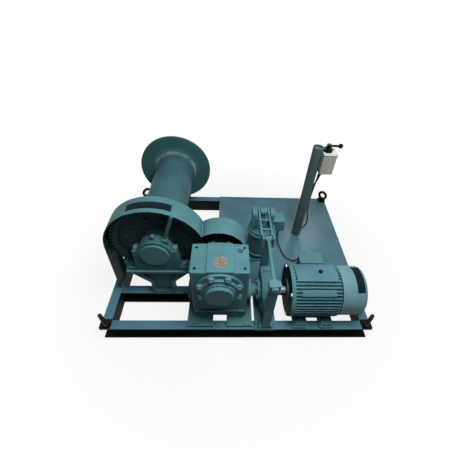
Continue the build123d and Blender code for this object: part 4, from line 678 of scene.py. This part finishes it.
def join_rings(shape, rings):
    """Faces between rings of points, and over the first and the last ring."""
    for ring, after in zip(rings, rings[1:]):
        for i in range(len(ring)):
            beside = (i + 1) % len(ring)
            shape.faces.new((ring[i], ring[beside], after[beside], after[i]))
    shape.faces.new(rings[0])
    shape.faces.new(rings[-1])


def curved_plate(axis, centre, radius, thickness, turns, reach, steps=28):
    """Closed plate bent round an axis, between two turns and two places along the axis."""
    shape = bmesh.new()
    outer = radius + thickness
    corners = ((radius, reach[0]), (outer, reach[0]), (outer, reach[1]), (radius, reach[1]))
    rows = []
    for step in range(steps + 1):
        turn = turns[0] + (turns[1] - turns[0]) * step / steps
        rows.append([shape.verts.new(round_place(axis, centre, turn, r, along)) for r, along in corners])
    join_rings(shape, rows)
    return shape


def hexagons(places, way, across, height):
    """Hexagon heads standing on their places."""
    shape = bmesh.new()
    radius = across / math.sqrt(3.0)
    lift = Matrix.Translation((0.0, 0.0, height / 2))
    for place in places:
        bmesh.ops.create_cone(
            shape, cap_ends=True, segments=6, radius1=radius, radius2=radius, depth=height,
            matrix=standing(place, way) @ lift,
        )
    return shape


def domes(places, radius):
    """Low round heads; each place comes with the way that its head faces."""
    shape = bmesh.new()
    flattened = Matrix.Diagonal((1.0, 1.0, 0.55, 1.0))
    for place, way in places:
        bmesh.ops.create_uvsphere(
            shape, u_segments=14, v_segments=8, radius=radius, matrix=standing(place, way) @ flattened
        )
    return shape


def bead(shape, points, radius, sides=8):
    """Adds a rippled weld bead along a row of points."""
    ripple_share, ripple_pace, tip_share = 0.14, 2.4, 0.35
    ring_turns = [math.tau * side / sides for side in range(sides)]
    rings = []
    travelled = 0.0
    for i, point in enumerate(points):
        ahead = points[min(i + 1, len(points) - 1)]
        behind = points[max(i - 1, 0)]
        travelled += (point - behind).length
        swell = 1.0 - ripple_share + ripple_share * math.sin(travelled / radius * ripple_pace)
        tip = tip_share if i in (0, len(points) - 1) else 1.0
        place = standing(point, ahead - behind)
        offsets = [Vector((math.cos(t), math.sin(t), 0.0)) * radius * swell * tip for t in ring_turns]
        rings.append([shape.verts.new(place @ offset) for offset in offsets])
    join_rings(shape, rings)


def straight(start, end, step):
    """Points along a straight run, about a step apart."""
    start, end = Vector(start), Vector(end)
    count = max(2, round((end - start).length / step))
    return [start.lerp(end, i / count) for i in range(count + 1)]


class PaintFrame(bpy.types.Operator):
    """Paints the channels, deck, lifting eyes and pads"""

    bl_idname = "winch.paint_frame"
    bl_label = "Paint frame"

    def execute(self, context):
        shades = paints()
        channel_paint = rail_paint("channel_paint", shades.deck, shades.rail)
        dress(channel_paint, "front_rail", "rear_rail", "left_rail", "right_rail")
        dress(channel_paint, "mid_rail", "motor_rail", "deck_stringers")
        deck_paint = enamel("deck_enamel", shades.deck, grain=90.0, depth=0.0003, roughness=0.24, shine=0.17)
        dress(deck_paint, "deck_plates")
        dress(black_enamel("eye_black", shades.rail), "eye_pads", "lifting_eyes")
        return {"FINISHED"}


class PaintDrum(bpy.types.Operator):
    """Paints the drum, its bearings, gears and guard"""

    bl_idname = "winch.paint_drum"
    bl_label = "Paint drum group"

    def execute(self, context):
        shades = paints()
        rope_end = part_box("drum")[1].y - ROPE_SETBACK
        dress(drum_paint("drum_enamel", shades.drum, shades.flange, shades.rubbed, rope_end), "drum")
        dress(cast_enamel(), "front_pedestal", "rear_pedestal")
        bearing_paint = enamel("bearing_enamel", shades.bearing, grain=240.0, depth=0.0006, roughness=0.40)
        dress(bearing_paint, "bearing_blocks", "bearing_caps", "guard_stay")
        guard_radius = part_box("gear_guard")[1].z - DRUM_AXIS.z
        small_cover_share = 0.9
        split = DRUM_AXIS.x + guard_radius * small_cover_share
        foot_line = RAIL_TOP + GUARD_FOOT
        dress(guard_enamel("guard_enamel", shades.machine, shades.gear, split, foot_line), "gear_guard")
        lines_y = (1.0, 14.0, 1.0)
        dress(turned_steel("shaft_steel_y", shades.steel, lines_y), "main_shaft", "output_shaft")
        dress(turned_steel("bearing_bronze", shades.bronze, lines_y), "bearing_bushes", "worm_wheel")
        dress(gear_enamel(), "bull_gear")
        dress(oiled_iron("gear_iron", shades.iron, metal=0.65), "pinion")
        return {"FINISHED"}


class PaintGearbox(bpy.types.Operator):
    """Paints the worm gearbox and its fittings"""

    bl_idname = "winch.paint_gearbox"
    bl_label = "Paint gearbox"

    def execute(self, context):
        shades = paints()
        dress(cast_enamel(), "gearbox_housing", "gearbox_top_cover", "gearbox_side_covers")
        dress(cast_enamel(), "bearing_end_caps", "hold_down_bolts", "oil_plugs")
        motor_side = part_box("shaft_coupling")[1].x
        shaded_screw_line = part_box("gearbox_top_cover")[0].z + MARGIN
        coats = shades.machine, shades.zinc, shades.rail
        dress(bolt_paint("bolt_paint", *coats, motor_side, shaded_screw_line), "cover_bolts")
        fine_grain = (4.0, 4.0, 4.0)
        dress(turned_steel("bearing_steel", shades.steel, fine_grain), "gearbox_bearings", "motor_bearings")
        lines_x = (14.0, 1.0, 1.0)
        dress(turned_steel("shaft_steel_x", shades.steel, lines_x), "worm_shaft")
        return {"FINISHED"}


class PaintBrake(bpy.types.Operator):
    """Paints the coupling, the brake and its thruster"""

    bl_idname = "winch.paint_brake"
    bl_label = "Paint brake"

    def execute(self, context):
        dress(cast_enamel(), "shaft_coupling", "brake_drum", "brake_base", "front_arm", "rear_arm")
        dress(cast_enamel(), "front_shoe", "rear_shoe", "thruster_body", "thruster_rod")
        dress(sheet_enamel(), "brake_lever", "tie_rod")
        return {"FINISHED"}


class PaintMotor(bpy.types.Operator):
    """Paints the motor and its bars"""

    bl_idname = "winch.paint_motor"
    bl_label = "Paint motor"

    def execute(self, context):
        shades = paints()
        dress(motor_enamel(), "motor_frame")
        dress(shield_enamel("shield_enamel", shades.motor, shades.gear), "drive_end_shield")
        dress(cast_enamel(), "terminal_box", "terminal_lid")
        cowl_paint = enamel("cowl_enamel", shades.cowl, grain=60.0, depth=0.0003, roughness=0.24, shine=0.08)
        dress(cowl_paint, "fan_cowl")
        dress(sheet_enamel(), "motor_bars")
        # The fan end is painted dark as shade in the gap under the cowl.
        dress(gear_enamel(), "fan_end_shield")
        dress(oiled_iron("rotor_steel", shades.steel, metal=0.5), "motor_rotor")
        dress(oiled_iron("core_iron", shades.iron, metal=0.7), "stator_core")
        dress(moulded("fan_plastic", shades.plastic, roughness=0.45, grain=200.0), "cooling_fan")
        return {"FINISHED"}


class PaintControl(bpy.types.Operator):
    """Paints the control post, switch and glands"""

    bl_idname = "winch.paint_control"
    bl_label = "Paint control post"

    def execute(self, context):
        shades = paints()
        post_paint = enamel("post_enamel", shades.post, grain=90.0, depth=0.0006, roughness=0.34)
        dress(post_paint, "control_post")
        lid_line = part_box("switch_box")[1].z - SWITCH_LID
        dress(switch_paint("switch_paint", shades.switch, shades.lid, lid_line), "switch_box")
        dress(moulded("handle_plastic", shades.plastic, roughness=0.28, grain=300.0), "switch_handle")
        dress(moulded("gland_plastic", shades.plastic, roughness=0.42, grain=300.0), "cable_glands")
        return {"FINISHED"}


class FitPlates(bpy.types.Operator):
    """Fits the bare strips and plates with their rivets"""

    bl_idname = "winch.fit_plates"
    bl_label = "Fit plates"

    def execute(self, context):
        plates = context.scene.winch.plates
        low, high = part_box("gear_guard")
        radius = high.z - DRUM_AXIS.z
        turns = plates.strip_start, plates.strip_end
        start = low.y + plates.strip_inset
        reach = start, start + plates.strip_width
        self.curved("guard_strip", dark_enamel(), "Y", DRUM_AXIS, radius, turns, reach)
        low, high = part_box("fan_cowl")
        radius = (high.z - low.z) / 2
        turns = plates.cowl_start, plates.cowl_end
        end = high.x - plates.cowl_inset
        reach = end - plates.cowl_width, end
        self.curved("cowl_strip", dark_enamel(), "X", MOTOR_AXIS, radius, turns, reach)
        low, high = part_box("motor_frame")
        radius = high.z - MOTOR_AXIS.z
        turns = plates.rating_start, plates.rating_end
        reach = low.x + plates.rating_inset, high.x - plates.rating_inset
        self.curved("rating_plate", motor_enamel(), "X", MOTOR_AXIS, radius, turns, reach)
        self.oval_badge(plates)
        return {"FINISHED"}

    def curved(self, name, material, axis, centre, radius, turns, reach):
        """Bent plate with a rivet near each corner."""
        plates = bpy.context.scene.winch.plates
        shape = curved_plate(axis, centre, radius, plates.thickness, turns, reach)
        new_piece(name, shape, material, edge=plates.thickness * 0.3)
        inset = 2.0 * plates.rivet
        spots = []
        for turn in (turns[0] + inset / radius, turns[1] - inset / radius):
            for along in (reach[0] + inset, reach[1] - inset):
                foot = round_place(axis, centre, turn, radius + plates.thickness, along)
                spots.append((foot, foot - round_place(axis, centre, turn, 0.0, along)))
        new_piece(name + "_rivets", domes(spots, plates.rivet), material)

    def oval_badge(self, plates):
        """Oval plate on the gearbox's raised panel."""
        low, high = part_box("gearbox_top_cover")
        middle_x = (low.x + high.x) / 2 + plates.badge_shift
        middle = Vector((middle_x, low.y + plates.badge_setback, high.z))
        half_length, half_width = plates.badge_length / 2, plates.badge_width / 2
        shape = bmesh.new()
        stretch = Matrix.Diagonal((half_length, half_width, plates.thickness, 1.0))
        lift = Matrix.Translation(middle + UP * plates.thickness / 2)
        bmesh.ops.create_cone(
            shape, cap_ends=True, segments=48, radius1=1.0, radius2=1.0, depth=1.0, matrix=lift @ stretch
        )
        coats = paints().badge, paints().brown
        enamelled = badge_enamel("badge_enamel", *coats, middle, half_length, half_width)
        new_piece("oval_badge", shape, enamelled, edge=plates.thickness * 0.4)


class FitFasteners(bpy.types.Operator):
    """Fits the gear bolts, the lids' screws, the lid of the thruster's box and the motor's plug"""

    bl_idname = "winch.fit_fasteners"
    bl_label = "Fit fasteners"

    def execute(self, context):
        plates = context.scene.winch.plates
        self.gear_bolts(plates)
        switch_material = NODES["switch_box"].data.materials[0]
        self.lid_screws("switch_lid_screws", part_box("switch_box"), switch_material, "switch_grey")
        self.lid_screws("terminal_lid_screws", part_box("terminal_lid"), cast_enamel(), "machine_paint")
        self.thruster_lid(plates)
        self.motor_plug(plates)
        return {"FINISHED"}

    def gear_bolts(self, plates):
        """Circle of hexagon heads on the bull gear's web."""
        web_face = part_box("bull_gear")[0].y + GEAR_WEB_SETBACK
        turns = [math.tau * (i + 0.5) / plates.gear_bolts for i in range(plates.gear_bolts)]
        places = [round_place("Y", DRUM_AXIS, turn, plates.gear_bolt_circle, web_face) for turn in turns]
        heads = hexagons(places, FRONT, plates.gear_bolt, plates.gear_head)
        new_piece("gear_bolts", heads, gear_enamel(), "drum_group", edge=plates.gear_edge)

    def motor_plug(self, plates):
        """Hexagon plug on the motor's top."""
        low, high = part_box("motor_frame")
        x = (low.x + high.x) / 2 + plates.plug_shift
        foot = Vector((x, MOTOR_AXIS.y + plates.plug_setback, high.z - plates.plug_sink))
        shape = hexagons([foot], UP, plates.plug, plates.plug_height)
        new_piece("motor_plug", shape, dark_enamel(), edge=plates.plug_edge)

    def lid_screws(self, name, box, material, slot):
        """Round screw heads at the four corners of a lid."""
        plates = bpy.context.scene.winch.plates
        low, high = box
        inset = plates.lid_inset
        spots = [
            (Vector((x, y, high.z)), UP)
            for x in (low.x + inset, high.x - inset)
            for y in (low.y + inset, high.y - inset)
        ]
        new_piece(name, domes(spots, plates.screw), material)

    def thruster_lid(self, plates):
        """Lid with rounded corners on the thruster's terminal box."""
        box_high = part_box("thruster_body")[1]
        half, thickness = plates.box_lid / 2, plates.box_lid_thickness
        overhang = (plates.box_lid - THRUSTER_BOX_SIDE) / 2
        top = LEVER_PIVOT.z - plates.box_drop
        middle = Vector((box_high.x + overhang - half, box_high.y + overhang - half, top + thickness / 2))
        shape = bmesh.new()
        size = Matrix.Diagonal((plates.box_lid, plates.box_lid, thickness, 1.0))
        bmesh.ops.create_cube(shape, size=1.0, matrix=Matrix.Translation(middle) @ size)
        upright = [e for e in shape.edges if abs(e.verts[0].co.z - e.verts[1].co.z) > thickness / 2]
        bmesh.ops.bevel(shape, geom=upright, offset=half / 4, segments=6, affect="EDGES")
        new_piece("thruster_box_lid", shape, cast_enamel(), edge=thickness / 4)
        reach = Vector((half, half, thickness / 2))
        lid_box = middle - reach, middle + reach
        self.lid_screws("thruster_lid_screws", lid_box, cast_enamel(), "machine_paint")


class LayWelds(bpy.types.Operator):
    """Lays the weld beads of the frame, deck, pedestals and post"""

    bl_idname = "winch.lay_welds"
    bl_label = "Lay welds"

    def execute(self, context):
        plates = context.scene.winch.plates
        weld_paint = enamel("weld_enamel", paints().deck, grain=500.0, depth=0.0008, roughness=0.40)
        step = plates.bead * 0.8
        joints = bmesh.new()
        for start, end in self.runs(plates):
            bead(joints, straight(start, end, step), plates.bead)
        new_piece("frame_welds", joints, weld_paint)
        ring = bmesh.new()
        low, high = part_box("control_post")
        radius = (high.y - low.y) / 2
        count = round(math.tau * radius / step)
        turns = [math.tau * i / count for i in range(count + 1)]
        middle = Vector((low.x + radius, (low.y + high.y) / 2, DECK_TOP))
        bead(ring, [middle + Vector((math.cos(t), math.sin(t), 0.0)) * radius for t in turns], plates.bead)
        new_piece("post_weld", ring, weld_paint)
        return {"FINISHED"}

    def runs(self, plates):
        """Ends of every straight bead."""
        runs = []
        front_low, front_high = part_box("front_pedestal")
        rear_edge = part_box("rear_rail")[1].y
        for middle in ((front_low.y + front_high.y) / 2, rear_edge - REAR_STEM_SETBACK):
            for y in (middle - STEM_DEPTH / 2, middle + STEM_DEPTH / 2):
                sides = DRUM_AXIS.x - STEM_HALF_WIDTH, DRUM_AXIS.x + STEM_HALF_WIDTH
                runs.append([(x, y, RAIL_TOP) for x in sides])
        deck_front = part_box("deck_plates")[0].y
        rail_low, rail_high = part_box("motor_rail")
        pitch = 3.0 * plates.stitch
        x = rail_low.x + plates.stitch / 2
        while x + plates.stitch < rail_high.x:
            runs.append(((x, deck_front, RAIL_TOP), (x + plates.stitch, deck_front, RAIL_TOP)))
            x += pitch
        sunk = RAIL_TOP - plates.bead / 2
        left_low, left_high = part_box("left_rail")
        for y in (left_low.y, left_high.y):
            runs.append(((left_low.x, y, sunk), (left_high.x, y, sunk)))
        cross_low, cross_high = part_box("mid_rail")
        runs.append(((left_high.x, cross_low.y, sunk), (left_high.x, cross_high.y, sunk)))
        right_low, right_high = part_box("right_rail")
        runs.append(((right_low.x, right_low.y, sunk), (right_high.x, right_low.y, sunk)))
        return runs


class RunCables(bpy.types.Operator):
    """Runs the switch's two cables into the post, and the brake's cable along the deck"""

    bl_idname = "winch.run_cables"
    bl_label = "Run cables"

    # Points of each cable's route in metres, from where it comes out to where it goes in again
    entry = [(0.4705, 0.1496, 0.614), (0.4705, 0.1496, 0.58), (0.429, 0.1496, 0.474)]
    drop = [
        (0.4745, 0.1796, 0.614), (0.4745, 0.1796, 0.57), (0.467, 0.1806, 0.49), (0.462, 0.1776, 0.4),
        (0.463, 0.1686, 0.32), (0.479, 0.1636, 0.262), (0.484, 0.1636, 0.212), (0.47, 0.1636, 0.172),
        (0.442, 0.1636, 0.142),
    ]
    brake = [
        (0.4, -0.1964, 0.279), (0.4, -0.1664, 0.279), (0.398, -0.1344, 0.239), (0.39, -0.1164, 0.1653),
        (0.366, -0.0984, 0.1115), (0.312, -0.0644, 0.1115), (0.291, 0.0206, 0.1115), (0.268, 0.0446, 0.1621),
        (0.265, 0.0506, 0.2126), (0.265, 0.0506, 0.256),
    ]

    def execute(self, context):
        sheath = moulded("cable_rubber", paints().rubber, roughness=0.50, grain=400.0)
        diameter = context.scene.winch.plates.cable
        cables = (
            ("switch_entry_cable", self.entry, 0.1465, "hanging", "control_cables"),
            ("switch_drop_cable", self.drop, 0.4869, "hanging", "control_cables"),
            ("brake_supply_cable", self.brake, 0.5033, "loose", "brake_cable"),
        )
        for name, points, run, lay, node in cables:
            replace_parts(self.cable(name, points, run, lay, diameter, sheath), node)
        return {"FINISHED"}

    def cable(self, name, points, run, lay, diameter, sheath):
        """Smooth round cable along its points, from one gland to where it goes in again."""
        line = bpy.data.curves.new(name, "CURVE")
        line.dimensions = "3D"
        line.bevel_depth = diameter / 2
        line.bevel_resolution = 5
        line.resolution_u = 10
        line.use_fill_caps = True
        spline = line.splines.new("NURBS")
        spline.points.add(len(points) - 1)
        for stop, point in zip(spline.points, points):
            stop.co = (*point, 1.0)
        spline.order_u = 3
        spline.use_endpoint_u = True
        line.materials.append(sheath)
        piece = add_object(name, line)
        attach(piece, "base")
        return piece


def seen_rays(finish):
    """1 for camera, glossy and transmission rays, else 0."""
    names = "Is Camera Ray", "Is Glossy Ray", "Is Transmission Ray"
    camera, glossy, through = [finish.node("ShaderNodeLightPath", output=name) for name in names]
    return finish.node("ShaderNodeClamp", None, {"Value": camera + glossy + through})


class BuildStage(bpy.types.Operator):
    """Makes the floor, the light and the camera"""

    bl_idname = "winch.build_stage"
    bl_label = "Build stage"

    def execute(self, context):
        stage = context.scene.winch.stage
        context.scene.view_settings.view_transform = "Standard"
        self.add_floor(stage)
        self.add_sky(context, stage)
        self.add_panels(stage)
        self.add_camera(context, stage)
        return {"FINISHED"}

    def add_floor(self, stage):
        """Pale floor that keeps the shadow, and shows white to the camera and in reflections."""
        half, low = FLOOR_HALF, -FLOOR_DROP
        mesh = bpy.data.meshes.new("floor")
        corners = [(-half, -half, low), (half, -half, low), (half, half, low), (-half, half, low)]
        mesh.from_pydata(corners, [], [(0, 1, 2, 3)])
        floor = add_object("floor", mesh)
        finish = Finish(bpy.data.materials.new("floor_paint"))
        lit = finish.node("ShaderNodeBsdfDiffuse", None, {"Color": rgba(stage.floor)})
        dim = finish.node("ShaderNodeBsdfDiffuse", None, {"Color": rgba(stage.floor, gain=0.2)})
        glow = finish.node("ShaderNodeEmission", None, {"Color": (1.0, 1.0, 1.0, 1.0), "Strength": 1.0})
        away = vector_math("LENGTH", finish.place(), output="Value")
        whitening = ramp(away, stage.white_start, stage.white_end)
        white_share = stage.floor_white + (1.0 - stage.floor_white) * whitening
        bright = finish.node("ShaderNodeMixShader", None, {0: white_share, 1: lit, 2: glow})
        shown = finish.node("ShaderNodeMixShader", None, {0: seen_rays(finish), 1: dim, 2: bright})
        finish.node("ShaderNodeOutputMaterial", None, {"Surface": shown})
        mesh.materials.append(finish.owner)

    def add_sky(self, context, stage):
        """Soft sky, brightest overhead, that looks plain white."""
        world = bpy.data.worlds.new("sky")
        context.scene.world = world
        finish = Finish(world)
        way = finish.node("ShaderNodeTexCoord", output="Generated")
        dome = ramp(part_of(finish, "Z", way), -0.1, 1.0)
        daylight = {"Color": (0.93, 0.97, 1.0, 1.0), "Strength": dome * stage.sky}
        light = finish.node("ShaderNodeBackground", None, daylight)
        plain = finish.node("ShaderNodeBackground", None, {"Color": (1.0, 1.0, 1.0, 1.0), "Strength": 1.0})
        shown = finish.node("ShaderNodeMixShader", None, {0: seen_rays(finish), 1: light, 2: plain})
        finish.node("ShaderNodeOutputWorld", None, {"Surface": shown})

    def add_panels(self, stage):
        """Three soft panels: overhead, behind the deck and on the left."""
        panels = (
            ("softbox", stage.key, (0.9, 0.7), (0.30, -0.60, 1.9), (0.05, -0.45, 0.0)),
            ("rear_panel", stage.rear, (0.40, 0.28), (1.12, 1.76, 1.8), (0.47, 0.13, 0.1)),
            ("left_panel", stage.left, (1.0, 0.8), (-2.4, 0.3, 1.3), (-0.3, 0.0, 0.3)),
        )
        for name, watts, size, place, aim in panels:
            lamp = bpy.data.lights.new(name, "AREA")
            lamp.shape = "RECTANGLE"
            lamp.size, lamp.size_y = size
            lamp.energy = watts
            panel = add_object(name, lamp)
            turn = (Vector(aim) - Vector(place)).to_track_quat("-Z", "Y").to_matrix().to_4x4()
            panel.matrix_world = Matrix.Translation(place) @ turn
            panel.visible_camera = False

    def add_camera(self, context, stage):
        """Camera at the photograph's place and angle."""
        lens = bpy.data.cameras.new("camera")
        lens.sensor_width = SENSOR_WIDTH * MILLIMETRES
        lens.lens = stage.lens * MILLIMETRES
        lens.shift_x = stage.shift_x
        lens.shift_y = stage.shift_y
        lens.clip_end = FAR_END
        camera = add_object("camera", lens)
        turn = Matrix.Rotation(-stage.yaw, 4, "Z")
        tilt = Matrix.Rotation(math.pi / 2 - stage.pitch, 4, "X")
        roll = Matrix.Rotation(stage.roll, 4, "Z")
        camera.matrix_world = Matrix.Translation(stage.place) @ turn @ tilt @ roll
        context.scene.camera = camera


class WinchPanel(bpy.types.Panel):
    """Sidebar panel with the winch's steps and settings"""

    bl_idname = "VIEW3D_PT_winch"
    bl_label = "Construction winch"
    bl_space_type = "VIEW_3D"
    bl_region_type = "UI"
    bl_category = "Winch"

    def draw(self, context):
        column = self.layout.column(align=True)
        for step in STEPS:
            column.operator(step.bl_idname)
        winch = context.scene.winch
        for group in (winch.paints, winch.plates, winch.stage):
            box = self.layout.box()
            for name in group.bl_rna.properties.keys():
                if name not in ("rna_type", "name"):
                    box.prop(group, name)


GROUPS = (WinchPaints, WinchPlates, WinchStage, WinchSettings)
STEPS = (
    BuildStage, RunCables, PaintFrame, PaintDrum, PaintGearbox, PaintBrake, PaintMotor, PaintControl,
    FitPlates, FitFasteners, LayWelds,
)


def register():
    """Adds the winch's classes and settings to Blender."""
    for item in (*GROUPS, *STEPS, WinchPanel):
        bpy.utils.register_class(item)
    settings = bpy.props.PointerProperty(name="Winch", description="Winch settings", type=WinchSettings)
    bpy.types.Scene.winch = settings


def unregister():
    """Takes the winch's classes and settings out of Blender."""
    del bpy.types.Scene.winch
    for item in reversed((*GROUPS, *STEPS, WinchPanel)):
        bpy.utils.unregister_class(item)


def main():
    """Runs every step in order."""
    register()
    bpy.ops.winch.build_stage()
    bpy.ops.winch.run_cables()
    bpy.ops.winch.paint_frame()
    bpy.ops.winch.paint_drum()
    bpy.ops.winch.paint_gearbox()
    bpy.ops.winch.paint_brake()
    bpy.ops.winch.paint_motor()
    bpy.ops.winch.paint_control()
    bpy.ops.winch.fit_plates()
    bpy.ops.winch.fit_fasteners()
    bpy.ops.winch.lay_welds()


if __name__ == "__main__":
    main()
